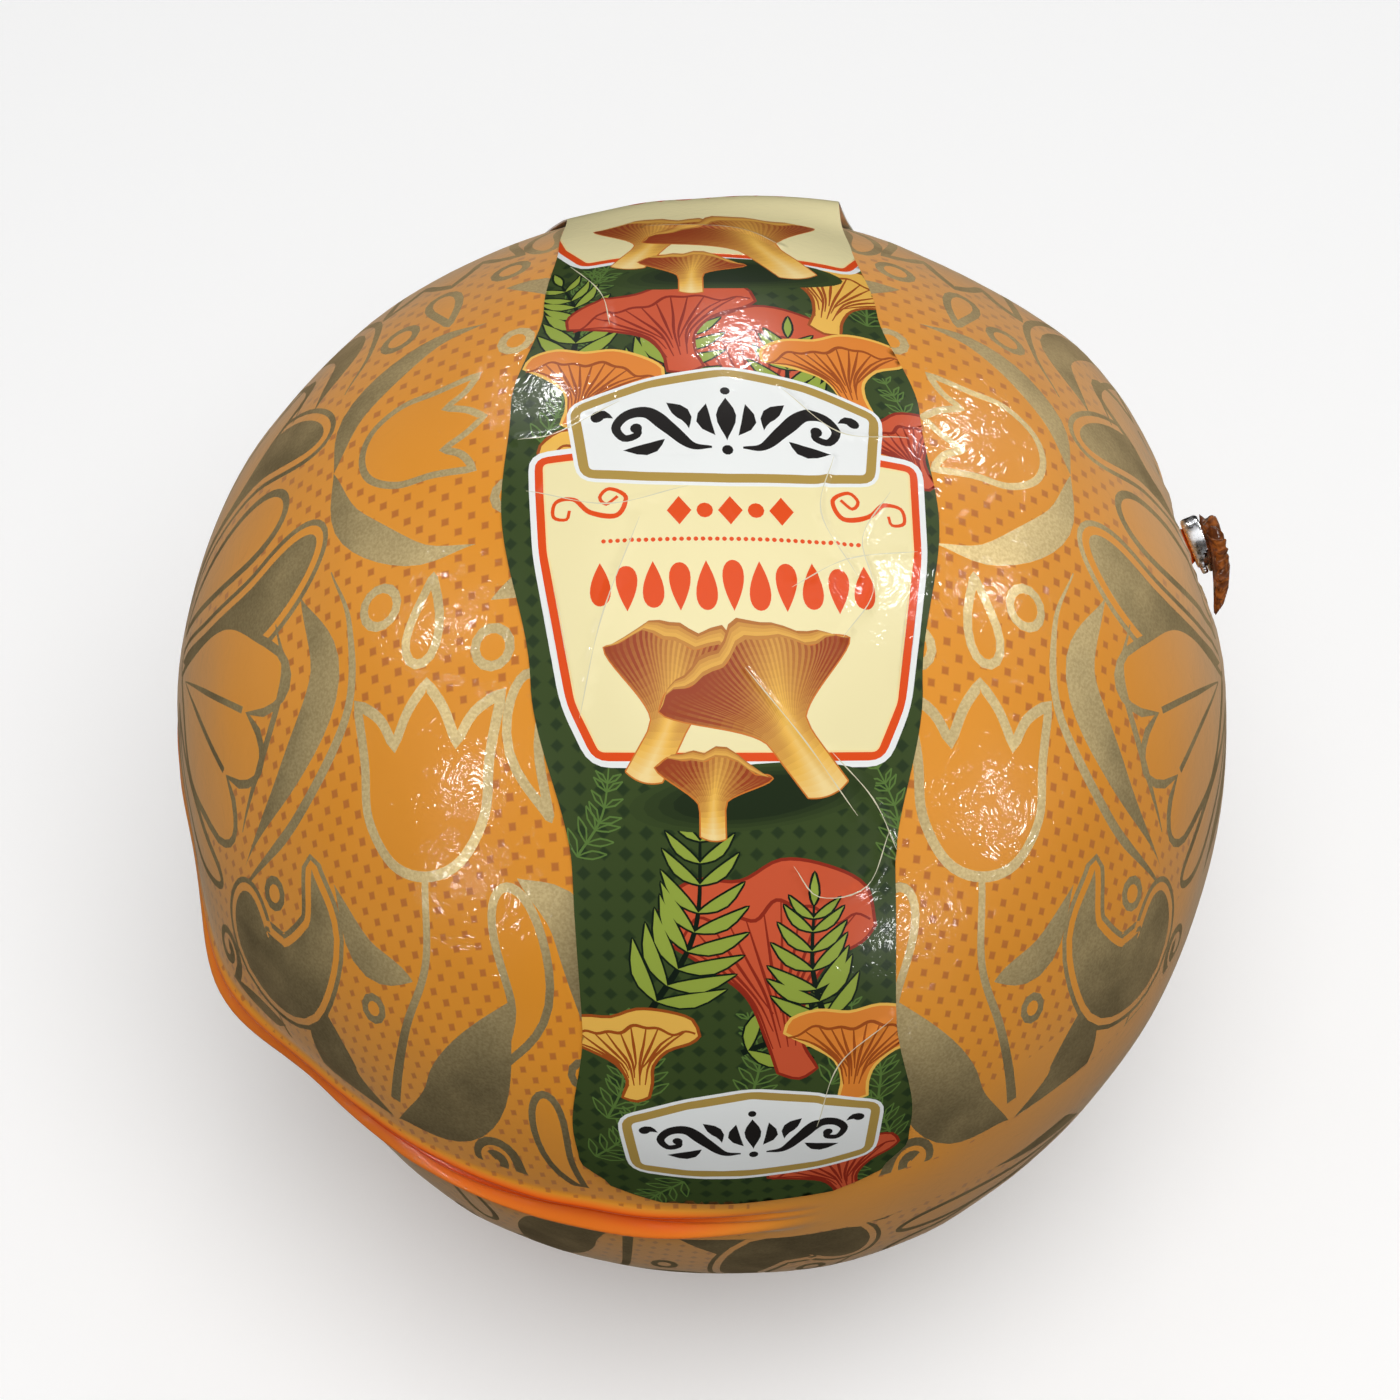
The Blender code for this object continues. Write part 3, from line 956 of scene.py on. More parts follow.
def toadstool(width, height, paints, ribs, lean=0.0):
    """A drawn funnel mushroom: a rolled wavy rim over ribs that run down the stem."""
    fill, dark, edge = paints
    w = width / 2
    h = height
    rim = [(-w, 0.72 * h), (-0.94 * w, 0.86 * h), (-0.62 * w, 0.95 * h), (-0.2 * w, 0.93 * h),
           (0.2 * w, h), (0.62 * w, 0.95 * h), (0.95 * w, 0.84 * h), (w, 0.66 * h)]
    right = [(w, 0.66 * h), (0.86 * w, 0.60 * h), (0.5 * w, 0.53 * h), (0.24 * w, 0.36 * h),
             (0.17 * w, 0.16 * h), (0.2 * w + lean, 0)]
    foot = [(0.2 * w + lean, 0), (0.03 * w + lean, -0.035 * h), (-0.15 * w + lean, 0.01 * h)]
    left = [(-0.15 * w + lean, 0.01 * h), (-0.14 * w, 0.2 * h), (-0.27 * w, 0.42 * h),
            (-0.6 * w, 0.58 * h), (-w, 0.72 * h)]
    body = outline(rim, right, foot, left)
    made = [(edge, grow(body, 0.42)), (fill, body)]
    steps = 45
    share = np.linspace(-0.97, 0.97, steps + 1)
    wavy = 0.03 * np.sin(share * 7.5) + 0.018 * np.sin(share * 17)
    under = np.column_stack([share * w, (0.80 - 0.13 * share**2 + wavy) * h])
    made += stroke(under, (0.3, 0.5, 0.3), dark)
    for i in range(ribs):
        spot = 2 * (i + 0.5) / ribs - 1
        top = under[int((spot + 1) / 2 * steps)]
        path = [top, (top[0] * 0.66, 0.60 * h), (top[0] * 0.27, 0.40 * h),
                (top[0] * 0.14 + lean * 0.3, (0.14 + 0.09 * (i % 3)) * h)]
        made += stroke(curve(path, 1.4), (0.16, 0.42, 0.14), dark)
    return made


def shaded_funnel(width, height, sway, ribs, steps, lit):
    """A shaded funnel mushroom built of fine ribs, from its rolled rim down to a pale foot.

    sway leans its foot and waves its rim, and lit says which side of it is the lightest.
    """
    w = width / 2
    h = height
    across = np.linspace(-1, 1, ribs * 2 + 1)
    down = np.linspace(0, 1, steps + 1)
    rim_wave = 0.035 * np.sin(across * 6.3 + sway) + 0.016 * np.sin(across * 15 + 2 * sway)
    rim = np.column_stack([across * w, (0.84 - 0.15 * across**2 + rim_wave) * h])
    waist = np.column_stack([across * 0.20 * w + 0.06 * sway * w, 0.34 * h + 0.03 * across * h])
    sole = 0.02 * h - 0.03 * h * (1 - across**2)
    foot = np.column_stack([across * 0.21 * w + 0.22 * sway * w, sole])
    rows = []
    for t in down:
        fall = min(1, t / FUNNEL_WAIST)
        narrow = smooth(0.0, 1.0, fall) ** 0.8
        low = np.clip((t - 0.55) / 0.45, 0, 1)
        row = np.column_stack([
            rim[:, 0] * (1 - narrow) + waist[:, 0] * narrow,
            rim[:, 1] + (waist[:, 1] - rim[:, 1]) * fall,
        ])
        rows.append(row * (1 - low) + foot * low)
    rows = np.array(rows)
    edge = np.vstack([rows[0], rows[1:, -1], rows[-1][::-1], rows[::-1][:-1, 0]])
    made = [(("orange", "brown", 0.35), grow(edge, 0.18))]
    for i in range(steps):
        t = (down[i] + down[i + 1]) / 2
        for j in range(ribs * 2):
            side = (across[j] + across[j + 1]) / 2
            light = 1 - min(1, abs(side - lit * (1 - t)) ** 1.3)
            rib = 0.22 * (1 - 0.8 * t) if j % 2 else 0.0
            tone = 0.05 + 0.6 * light**3 + 1.1 * t * t + 0.4 * t - rib
            if tone < 1:
                kind = ("rust", "yellow", float(max(tone, 0.06)))
            else:
                kind = ("yellow", "pale", float(min(tone - 1, 0.85)))
            corners = [rows[i][j], rows[i + 1][j], rows[i + 1][j + 1], rows[i][j + 1]]
            made.append((kind, np.array(corners)))
    # Hollow of the cap behind the rim
    top = rim[::4]
    share = across[::4]
    rise = (0.02 + 0.09 * (1 - share**2)) * h + 0.012 * h * np.sin(share * 11 + sway)
    crown = np.column_stack([share * 0.93 * w, top[:, 1] + rise])
    for k, tone in enumerate(CROWN_TONES):
        low = top + (crown - top) * k / len(CROWN_TONES)
        high = top + (crown - top) * (k + 1) / len(CROWN_TONES)
        for j in range(len(top) - 1):
            corners = [low[j], high[j], high[j + 1], low[j + 1]]
            made.append((("rust", "yellow", tone), np.array(corners)))
    return made


def flourish():
    """Symmetric black flourish: a middle bud, wound scrolls and leaves to both sides."""
    scroll = curve([
        (1.9, -3.3), (4.4, -3.0), (7.0, -0.4), (9.6, 2.1), (12.2, 1.9), (13.6, 0.1), (12.6, -1.6),
        (11.0, -1.2), (10.9, -0.2),
    ], 0.5)
    half = stroke(scroll, (0.3, 1.5, 2.0, 1.5, 1.1, 0.9), "black")
    half += [("black", shape) for shape in (
        circle(0.75, 0.4) + (11.1, -0.2),
        leaf_on([(4.6, -0.6), (5.0, 1.4), (7.3, 3.6)], 1.9, 0.55),
        leaf_on([(7.6, -2.0), (9.6, -3.4), (12.8, -3.4)], 1.7, 0.45),
        tear_on([(13.9, 1.6), (15.1, 2.3), (16.6, 1.5)], 1.5),
        leaf_on([(1.4, -1.6), (2.8, 0.6), (2.4, 3.3)], 1.8, 0.5),
    )]
    middle = [("black", shape) for shape in (
        leaf(2.5, 0.55, 18) * (1, 6.6) + (0, -2.4),
        circle(0.62, 0.4) + (0, 5.3),
        circle(0.7, 0.4) + (0, -3.7),
    )]
    return mirrored(half, -1, 1) + mirrored(half, 1, 1) + middle


def framed(corners, radius, *layers):
    """Rounded shapes on each other, each a paint and how far it is moved inward."""
    return [(paint, rounded(corners, radius, inset)) for paint, inset in layers]


def plate(width, height):
    """A white plate with an arched top, a gold border and a dark flourish across it."""
    w = width / 2
    h = height / 2
    corners = [
        (-w, 0.42 * h), (-0.5 * w, 0.80 * h), (0, h), (0.5 * w, 0.80 * h), (w, 0.42 * h),
        (0.93 * w, -0.84 * h), (0.5 * w, -0.96 * h), (0, -h), (-0.5 * w, -0.96 * h),
        (-0.93 * w, -0.84 * h),
    ]
    made = framed(corners, 2.4, ("white", 0.0), ("border", 0.5), ("white", 1.75))
    return made + place(flourish(), 0, -0.02 * height, 0, width / 40)


def panel(raised):
    """A cream panel with an edged border, corner scrolls and raised rows of small ornaments."""
    corners = [
        (-24.8, 41.5), (24.8, 41.5), (24.4, 27.0), (21.4, 7.5), (18.0, 0.0), (-18.0, 0.0),
        (-21.4, 7.5), (-24.4, 27.0),
    ]
    made = framed(corners, 2.6, ("white", 0.0), ("accent", 0.8), ("pale", 1.85), ("cream", 2.1))
    scroll = curve([
        (13.2, 38.4), (14.6, 37.3), (15.4, 38.4), (14.2, 39.5), (12.2, 38.2), (13.4, 35.8),
        (16.6, 36.4), (18.6, 38.3), (20.9, 38.2), (21.2, 36.2), (19.6, 35.7), (19.2, 36.9),
    ], 0.5)
    scroll = place(stroke(scroll, (0.4, 0.5, 0.7, 0.5, 0.4), "accent"), 0.4, -4.4)
    made += mirrored(scroll, -1, 1) + mirrored(scroll, 1, 1)
    shapes = [circle(0.29, 0.4) + (i * 0.86, 28.0 + raised) for i in range(-18, 19)]
    lozenge = np.array([(0, 1.9), (-1.5, 0), (0, -1.9), (1.5, 0)])
    for i in range(-2, 3):
        shapes.append((circle(1.0, 0.5) if i % 2 else lozenge) + (i * 3.1, 31.8 + raised))
    # The raised rows are shorter, to keep off the corner scrolls
    drops = 3 if raised else 5
    for i in range(-drops, drops + 1):
        drop = tear(2.6, 1.1) * (1, 6.4 - 0.16 * abs(i))
        foot = 18.9
        if i % 2:
            drop = drop * (1, -1)
            foot = 25.2
        shapes.append(drop + (i * 3.2, foot + raised))
    return made + [("accent", shape) for shape in shapes]


def label_art():
    """Everything printed on the label's green ground."""
    coral = ("coral", "rust", "rust")
    orange = ("orange", "brown", "yellow")
    yellow = ("yellow", "brown", "brown")
    made = []

    def add(shapes, x, y, turn=0.0):
        made.extend(place(shapes, x + ART_CENTRE, y, turn))

    bend = [(0, 0), (1.5, 6), (0.5, 13)]
    ferns = (
        (-18, 20, -6), (-13, 24, 14), (16, 21, 12), (10, 25, -10), (18, 12, 30), (-20, 12, -25),
        (0, 24, 3), (-20, 57, -18), (19, 56, 14), (-23, 111, -12), (23, 110, 14), (-17, 119, 10),
        (10, 120, -8), (0, 121, 30), (-9, 8, 150), (12, 8, 205), (20, 139, 20), (-18, 137, -20),
    )
    for again in (0, REPEAT):
        for x, y, turn in ferns:
            add(fern(bend, 8, 3.4), x, y + again, turn)
        # Drawn mushrooms and leaves below the panel
        add(frond([(0, 0), (2, 7), (0, 14)], 6, 5.8, 1.7), -1, 31 + again, -48)
        add(toadstool(26, 29, coral, 11, 1.0), 4.5, 27.5 + again, 5)
        add(frond([(0, 0), (3, 12), (1, 25)], 9, 7.6, 1.9), -12, 37 + again, -14)
        add(frond([(0, 0), (1, 8), (4, 16)], 7, 6.6, 1.8), 9.5, 34.5 + again, 18)
        add(toadstool(17, 13, yellow, 10, -1.0), -13.5, 24 + again, 8)
        add(toadstool(19, 14, orange, 12), 12.5, 22.5 + again, -8)
    for again in (0, REPEAT):
        # Drawn mushrooms and leaves above the plate
        add(frond([(0, 0), (3, 8), (3, 17)], 7, 6.2, 1.8), -19, 124 + again, 14)
        add(toadstool(22, 17, yellow, 12), 13, 130 + again, -14)
        add(toadstool(24, 17, coral, 11), -5, 121 + again, 12)
        add(toadstool(18, 13, orange, 11), -19, 113 + again, -16)
        add(toadstool(19, 13, orange, 12), 16.5, 116 + again, 14)
        add(toadstool(13, 11, coral, 9), 25, 106 + again, 24)
        add(panel(PANEL_RAISED if again else 0.0), 0, PANEL_FOOT + again)
        # Shaded mushrooms at the foot of the panel
        for step in range(4):
            dark = ("green", "night", 0.15 + 0.2 * step)
            add([(dark, circle(9.4 - 1.1 * step, 2.0) * (1.6, 0.42))], 1.5, 64.5 + again, 6)
        add(shaded_funnel(21, 21, -0.9, 32, 18, -0.2), -9.6, 66 + again, -16)
        add(shaded_funnel(25, 23.5, 0.9, 38, 20, 0.3), 8.4, 64 + again, 22)
        add(shaded_funnel(14, 11.5, 0.3, 20, 13, 0.1), -4.0, 59.5 + again, -6)
        add(plate(40, 18.4), 0, TOP_PLATE + again)
    add(toadstool(17, 12, coral, 10), 12, 1.5, 12)
    add(toadstool(15, 12, orange, 9), -14, 218, -20)
    add(plate(34, 17), 0, FRONT_PLATE)
    add(plate(34, 15), 0, BACK_PLATE)
    for points, _ in CREASES:
        made += stroke(curve(points), CREASE_WEAR, "worn")
    return [(kind, piece) for kind, piece in made if np.max(piece[:, 1]) > 0]


def label_half_width(arc):
    """Half the label's width at arc angles, eased between its stations."""
    arcs, halves = np.array(LABEL_STATIONS).T
    at = np.clip(np.searchsorted(arcs, arc) - 1, 0, len(arcs) - 2)
    ease = smooth(arcs[at], arcs[at + 1], arc)
    return halves[at] + (halves[at + 1] - halves[at]) * ease


def label_outline():
    """The label's edge on its flat print, across it and along it."""
    arcs = np.linspace(LABEL_START, LABEL_END, LABEL_EDGE_STEPS)
    along = np.radians(arcs) * BALL_RADIUS
    half = label_half_width(arcs)
    across = np.linspace(-half[0], half[0], LABEL_END_STEPS + 2)[1:-1]
    front = np.column_stack([across, np.full(len(across), along[0])])
    back = np.column_stack([across[::-1], np.full(len(across), along[-1])])
    right = np.column_stack([half, along])
    left = np.column_stack([-half, along])[::-1]
    return np.vstack([front, right, back, left])


def crease_height(flat):
    """Height of the label's sharp creases."""
    height = np.zeros(len(flat))
    for points, rise in CREASES:
        line = curve(points, 2.0)
        nearest = np.full(len(flat), 1e9)
        for a, b in zip(line, line[1:]):
            run = b - a
            t = np.clip((flat - a) @ run / (run @ run), 0, 1)
            nearest = np.minimum(nearest, np.hypot(*(flat - a - t[:, None] * run).T))
        height = np.maximum(height, rise * bell(nearest, CREASE_WIDTH))
    return height


def label_points(flat, lift):
    """Points of the label for places on its flat print."""
    x, y = flat.T
    arc = np.degrees(y / BALL_RADIUS)
    shift = LABEL_FRONT_SHIFT + (LABEL_BACK_SHIFT - LABEL_FRONT_SHIFT) * arc / 180
    side = (x + shift) / BALL_RADIUS
    a = np.radians(arc)
    n = np.column_stack([np.sin(side), -np.cos(a) * np.cos(side), np.sin(a) * np.cos(side)])
    share = x / label_half_width(arc)
    buckle = BUCKLE_LOW + (BUCKLE_HIGH - BUCKLE_LOW) * ((share + 1) / 2) ** 2
    lift = lift + buckle * bell(arc - BUCKLE_ARC, BUCKLE_HALF_ARC) + crease_height(flat)
    return film_points(n, lift)


def label_normals(flat, lift):
    """The label's normals, from its slope across and along."""
    step = LABEL_SLOPE_STEP
    across = label_points(flat + (step, 0), lift) - label_points(flat - (step, 0), lift)
    along = label_points(flat + (0, step), lift) - label_points(flat - (0, step), lift)
    return unit(np.cross(across, along))


class Shell:
    """Collects the points, faces, print places and finishes of one piece."""

    def __init__(self):
        self.points = []
        self.normals = []
        self.flat = []
        self.layers = []
        self.faces = []
        self.kinds = []
        self.paint = []
        self.count = 0

    def add(self, points, normals, flat, faces, kinds, layers=0.0, paint=None):
        """Adds points with their normals, and faces with a finish and three or four paints."""
        self.points.append(points)
        self.normals.append(normals)
        self.flat.append(flat)
        self.layers.append(np.broadcast_to(np.asarray(layers, float), len(points)))
        self.faces.extend([int(v) + self.count for v in face] for face in faces)
        self.kinds.extend(kinds)
        self.paint.extend(paint if paint is not None else [None] * len(faces))
        self.count += len(points)


def grid_faces(rows, columns):
    """Faces between rows of points, each row a closed ring."""
    faces = []
    for i in range(rows - 1):
        for j in range(columns):
            k = (j + 1) % columns
            a = i * columns
            faces.append((a + j, a + columns + j, a + columns + k, a + k))
    return faces


def grid_normals(rows):
    """Normals of rings of points, each ring closed."""
    across = np.gradient(rows, axis=0)
    along = np.roll(rows, -1, 1) - np.roll(rows, 1, 1)
    return unit(np.cross(across, along))


def add_print(shell, half):
    """Adds the upper or lower half of the printed film."""
    turn = LOWER_TURN if half < 0 else 0.0
    flat_of = upper_flat if half > 0 else lower_flat
    boundary = flat_of(seal_directions(SEAL_TOP if half > 0 else SEAL_BOTTOM))
    shapes = ornament()
    extra = None
    hole = None
    keep_off = None
    if half > 0:
        shapes = [("plain", bare_crescent()), *shapes]
        hole = flat_of(gather_directions(GATHER_HOLE))
        extra = np.vstack([
            flat_of(gather_directions(r))[:: 1 if r < GATHER_DENSE else 2] for r in GATHER_RINGS
        ])
        keep_off = flat_of(GATHER_OUT[None])[0]
    shapes = fit_inside(shapes, boundary, keep_off)
    points, triangles, shown = cut_sheet(boundary, shapes, GRID_STEP, extra, hole)
    n = from_flat(points, half, turn)
    n[:SEAL_STEPS] = seal_directions(SEAL_TOP if half > 0 else SEAL_BOTTOM)
    if half > 0:
        n[SEAL_STEPS:SEAL_STEPS + GATHER_STEPS] = gather_directions(GATHER_HOLE)
    else:
        triangles = triangles[:, ::-1]
    kinds = ["dotted" if s < 0 else shapes[s][0] for s in shown]
    distance = np.radians(angle_from(n, GATHER_OUT)) * BALL_RADIUS
    stretched = LAYERS_STRETCHED * bell(np.maximum(0, distance - GATHER_HOLE), PALE_REACH)
    shell.add(film_points(n), film_normals(n), points, triangles, kinds, stretched)


def add_seal(shell):
    """Adds the band of film with the folded seal, between the two printed halves."""
    offsets = np.concatenate([SEAL_ABOVE, np.arange(*SEAL_FINE), SEAL_BELOW])
    middle = int(np.argmin(np.abs(offsets - SEAL_MIDDLE)))
    for part, flat_of in ((offsets[: middle + 1], upper_flat), (offsets[middle:], lower_flat)):
        n = np.vstack([seal_directions(s) for s in part])
        faces = grid_faces(len(part), SEAL_STEPS)
        kinds = []
        for i in range(len(part) - 1):
            between = (part[i] + part[i + 1]) / 2
            printed = between < PRINT_STOPS[0] or between > PRINT_STOPS[1]
            for j in range(SEAL_STEPS):
                turn = along_seal(j * 360 / SEAL_STEPS)
                left = SEAL_ENDS[0] < turn < SEAL_ENDS[1]
                kinds.append("dotted" if printed and left else "plain")
        azimuth = np.arange(SEAL_STEPS) * 360 / SEAL_STEPS
        strength = seal_strength(along_seal(azimuth))
        below = np.repeat(part, SEAL_STEPS)
        doubled = smooth(*DOUBLED_FROM, below) * (1 - 0.45 * smooth(*DOUBLED_THINS, below))
        doubled = doubled * (1 - smooth(*DOUBLED_TO, below))
        layers = LAYERS_DOUBLED * doubled * np.tile(strength, len(part))
        shell.add(film_points(n), film_normals(n), flat_of(n), faces, kinds, layers)


def gather_points(x, y, z):
    """Points given along the tail's droop, across it and out of the ball."""
    across = np.outer(x, GATHER_LONG) + np.outer(y, GATHER_SHORT)
    return GATHER_ORIGIN + across + np.outer(z, GATHER_OUT)


def add_gather(shell):
    """Adds the pleated film from the dimple through the neck into the crumpled tail."""
    a = np.linspace(0, 2 * math.pi, GATHER_STEPS, endpoint=False)
    start = film_points(gather_directions(GATHER_HOLE))
    from_origin = start - GATHER_ORIGIN
    hole_z = from_origin @ GATHER_OUT
    rings = [start]
    fold = 0.5 - np.abs(np.sin(PLEATS / 2 * a + 0.35 * np.sin(3 * a)))
    for share, height, depth in DIMPLE_RINGS:
        long_half = GATHER_HOLE + (NECK_LONG - GATHER_HOLE) * share
        short_half = GATHER_HOLE + (NECK_SHORT - GATHER_HOLE) * share
        swell = 1 + depth * fold
        z = height + (hole_z - hole_z.mean()) * (1 - share) + 0.5 * fold * (1 - share)
        rings.append(
            gather_points(long_half * swell * np.cos(a), short_half * swell * np.sin(a), z)
        )
    crumple = np.random.default_rng(TAIL_SEED).uniform(-1, 1, (TAIL_WRINKLES, 6))
    for number, (long_half, short_half, height, droop, ruffle) in enumerate(TAIL_RINGS):
        pleat_count = PLEATS / 2 if droop == 0 else TAIL_PLEATS
        wave = 0.5 - np.abs(np.sin(pleat_count * a + 0.5 * np.sin(2 * a + number * 0.2)))
        for k, row in enumerate(crumple):
            wave = wave + 0.22 * row[0] * np.sin((k + 2) * a + row[1] * 3 + number * row[2])
        swell = 1 + ruffle * wave
        x = droop + long_half * swell * np.cos(a)
        y = short_half * swell * np.sin(a)
        curl = TAIL_CURL * np.maximum(0, x) ** 2 if droop else 0 * x
        z = height - curl + (0.35 * wave * ruffle / 0.3 if droop else 0)
        rings.append(gather_points(x, y, z))
    rows = np.array(rings)
    points = rows.reshape(-1, 3)
    faces = [face[::-1] for face in grid_faces(len(rings), GATHER_STEPS)]
    faces.append(tuple(range(len(points) - GATHER_STEPS, len(points))))
    layers = np.repeat(np.concatenate([
        [LAYERS_STRETCHED],
        np.linspace(LAYERS_STRETCHED, LAYERS_AT_NECK, len(DIMPLE_RINGS)),
        np.full(len(TAIL_RINGS), LAYERS_IN_TAIL),
    ]), GATHER_STEPS)
    flat = upper_flat(unit(points - BALL_CENTRE))
    normals = grid_normals(rows).reshape(-1, 3)
    if np.sum(normals * (points - points.mean(0))) < 0:
        normals = -normals
    normals[:GATHER_STEPS] = film_normals(gather_directions(GATHER_HOLE))
    shell.add(points, normals, flat, faces, ["plain"] * len(faces), layers)


def piece_from(shell, name, materials):
    """One object of a shell's faces, with its print map, layers, paint and smooth normals."""
    points = np.round(np.vstack(shell.points) / WELD).astype(int)
    _, first, joined = np.unique(points, axis=0, return_index=True, return_inverse=True)
    joined = joined.ravel().tolist()
    kept = []
    faces = []
    seen = set()
    for number, face in enumerate(shell.faces):
        welded = [joined[v] for v in face]
        corners = frozenset(welded)
        if len(corners) == len(welded) and corners not in seen:
            seen.add(corners)
            kept.append(number)
            faces.append(welded)
    mesh = bpy.data.meshes.new(name)
    mesh.from_pydata((np.vstack(shell.points)[first] * MM).tolist(), [], faces)
    corners = np.array([v for number in kept for v in shell.faces[number]])
    uv = mesh.uv_layers.new(name="print")
    uv.data.foreach_set("uv", (np.vstack(shell.flat)[corners] * MM).astype(np.float32).ravel())
    layer = mesh.attributes.new("layers", "FLOAT", "POINT")
    layer.data.foreach_set("value", np.concatenate(shell.layers)[first].astype(np.float32))
    if shell.paint[0] is not None:
        paint = mesh.color_attributes.new("paint", "FLOAT_COLOR", "CORNER")
        rows = np.vstack([shell.paint[number] for number in kept])
        rows = np.column_stack([rows, np.ones(len(rows))])
        paint.data.foreach_set("color", rows.astype(np.float32).ravel())
    order = list(materials)
    for material in materials.values():
        mesh.materials.append(material)
    numbers = [order.index(shell.kinds[number]) for number in kept]
    mesh.polygons.foreach_set("material_index", numbers)
    mesh.shade_smooth()
    mesh.normals_split_custom_set(np.vstack(shell.normals)[corners].tolist())
    made = bpy.data.objects.new(name, mesh)
    bpy.context.scene.collection.objects.link(made)
    return made


def put(tree, kind, inputs=None, **settings):
    """Adds a shader node. Each input is a value or another node's output."""
    node = tree.nodes.new(kind)
    for name, value in settings.items():
        setattr(node, name, value)
    for name, value in (inputs or {}).items():
        if isinstance(value, bpy.types.NodeSocket):
            tree.links.new(value, node.inputs[name])
        else:
            node.inputs[name].default_value = value
    return node


def maths(tree, operation, first, second=0.0):
    """Output of a maths node."""
    return put(tree, "ShaderNodeMath", {0: first, 1: second}, operation=operation).outputs[0]


def blend(tree, factor, first, second):
    """Output of a colour mix. A plain colour has three values."""
    inputs = {0: factor}
    for socket, paint in ((6, first), (7, second)):
        plain = not isinstance(paint, bpy.types.NodeSocket)
        inputs[socket] = (*paint, 1) if plain else paint
    return put(tree, "ShaderNodeMix", inputs, data_type="RGBA").outputs[2]


def ramp(tree, value, low, high, start=0.0, end=1.0):
    """Output that runs evenly from start to end as value runs from low to high."""
    inputs = {"Value": value, "From Min": low, "From Max": high, "To Min": start, "To Max": end}
    return put(tree, "ShaderNodeMapRange", inputs).outputs[0]


def noise(tree, place_at, scale, detail=2.0, **more):
    """Output of a noise texture."""
    inputs = {"Vector": place_at, "Scale": scale, "Detail": detail}
    for name, value in more.items():
        inputs[name.capitalize()] = value
    return put(tree, "ShaderNodeTexNoise", inputs).outputs[0]


def effect(name, inputs, outputs):
    """A new node group that reads a place and further values, with its first and last node."""
    tree = bpy.data.node_groups.new(name, "ShaderNodeTree")
    tree.interface.new_socket(name="Vector", in_out="INPUT", socket_type="NodeSocketVector")
    for label, value in inputs.items():
        socket = tree.interface.new_socket(
            name=label, in_out="INPUT", socket_type="NodeSocketFloat"
        )
        socket.default_value = value
    for label in outputs:
        tree.interface.new_socket(name=label, in_out="OUTPUT", socket_type="NodeSocketFloat")
    return tree, tree.nodes.new("NodeGroupInput"), tree.nodes.new("NodeGroupOutput")


def shared(tree, build, place_at, **values):
    """Adds the node of a shared effect, which is built on its first use."""
    name = build.__name__.replace("_", " ")
    group = bpy.data.node_groups.get(name) or build(name)
    inputs = {"Vector": place_at}
    for label, value in values.items():
        inputs[label.capitalize()] = value
    return put(tree, "ShaderNodeGroup", inputs, node_tree=group)


def film_wrinkle(name):
    """Height of the small wrinkles that shrunk film keeps."""
    tree, given, result = effect(name, {"Crinkle": 1.0}, ["Height"])
    place_at = given.outputs["Vector"]
    soft = noise(tree, place_at, 70)
    fine = noise(tree, place_at, 260, 3, roughness=0.6, distortion=0.8)
    creases = maths(tree, "ABSOLUTE", maths(tree, "SUBTRACT", fine, 0.5))
    creases = maths(tree, "MULTIPLY", creases, given.outputs["Crinkle"])
    total = maths(tree, "ADD", soft, maths(tree, "MULTIPLY", creases, 0.9))
    tree.links.new(total, result.inputs["Height"])
    return tree


def screen_dots(name):
    """Mask of small squares in staggered rows."""
    tree, given, result = effect(name, {"Cell": 0.0037, "Size": 0.00115}, ["Mask"])
    place_at = given.outputs["Vector"]
    cell = given.outputs["Cell"]
    split = put(tree, "ShaderNodeSeparateXYZ", {"Vector": place_at})
    uneven = ramp(tree, noise(tree, place_at, 55), *DOT_UNEVEN)
    half = maths(tree, "MULTIPLY", given.outputs["Size"], uneven)
    masks = []
    for shift in (0.0, 0.5):
        sides = []
        for axis in ("X", "Y"):
            at = maths(tree, "DIVIDE", split.outputs[axis], cell)
            at = maths(tree, "FRACT", maths(tree, "ADD", at, shift + DOT_CELLS_BEFORE))
            near = maths(tree, "ABSOLUTE", maths(tree, "SUBTRACT", at, 0.5))
            sides.append(maths(tree, "MULTIPLY", near, cell))
        edge = maths(tree, "SUBTRACT", maths(tree, "MAXIMUM", *sides), half)
        masks.append(ramp(tree, edge, DOT_BLUR, -DOT_BLUR))
    tree.links.new(maths(tree, "MAXIMUM", *masks), result.inputs["Mask"])
    return tree


def ink_grain(name):
    """Grain of metallic ink: fine flakes and soft clouds."""
    tree, given, result = effect(name, {}, ["Flakes", "Clouds"])
    for label, scale, detail in (("Flakes", 2600, 2), ("Clouds", 120, 4)):
        grain = noise(tree, given.outputs["Vector"], scale, detail)
        tree.links.new(ramp(tree, grain, 0.35, 0.65), result.inputs[label])
    return tree


def new_material(name, roughness, **values):
    """A material with its tree and shader. Further values are for the shader's inputs."""
    material = bpy.data.materials.new(name)
    material.use_nodes = True
    shader = material.node_tree.nodes["Principled BSDF"]
    shader.inputs["Roughness"].default_value = roughness
    shader.inputs["Coat IOR"].default_value = COAT_IOR
    for label, value in values.items():
        words = label.replace("_", " ").title().replace("Ior", "IOR")
        shader.inputs[words].default_value = value
    return material, material.node_tree, shader


def wrinkled(tree, shader, place_at, crinkle, height):
    """Gives the gloss of a shader the film's small wrinkles."""
    wrinkle = shared(tree, film_wrinkle, place_at, crinkle=crinkle)
    bump = put(tree, "ShaderNodeBump", {"Height": wrinkle.outputs["Height"], "Distance": height})
    tree.links.new(bump.outputs["Normal"], shader.inputs["Coat Normal"])


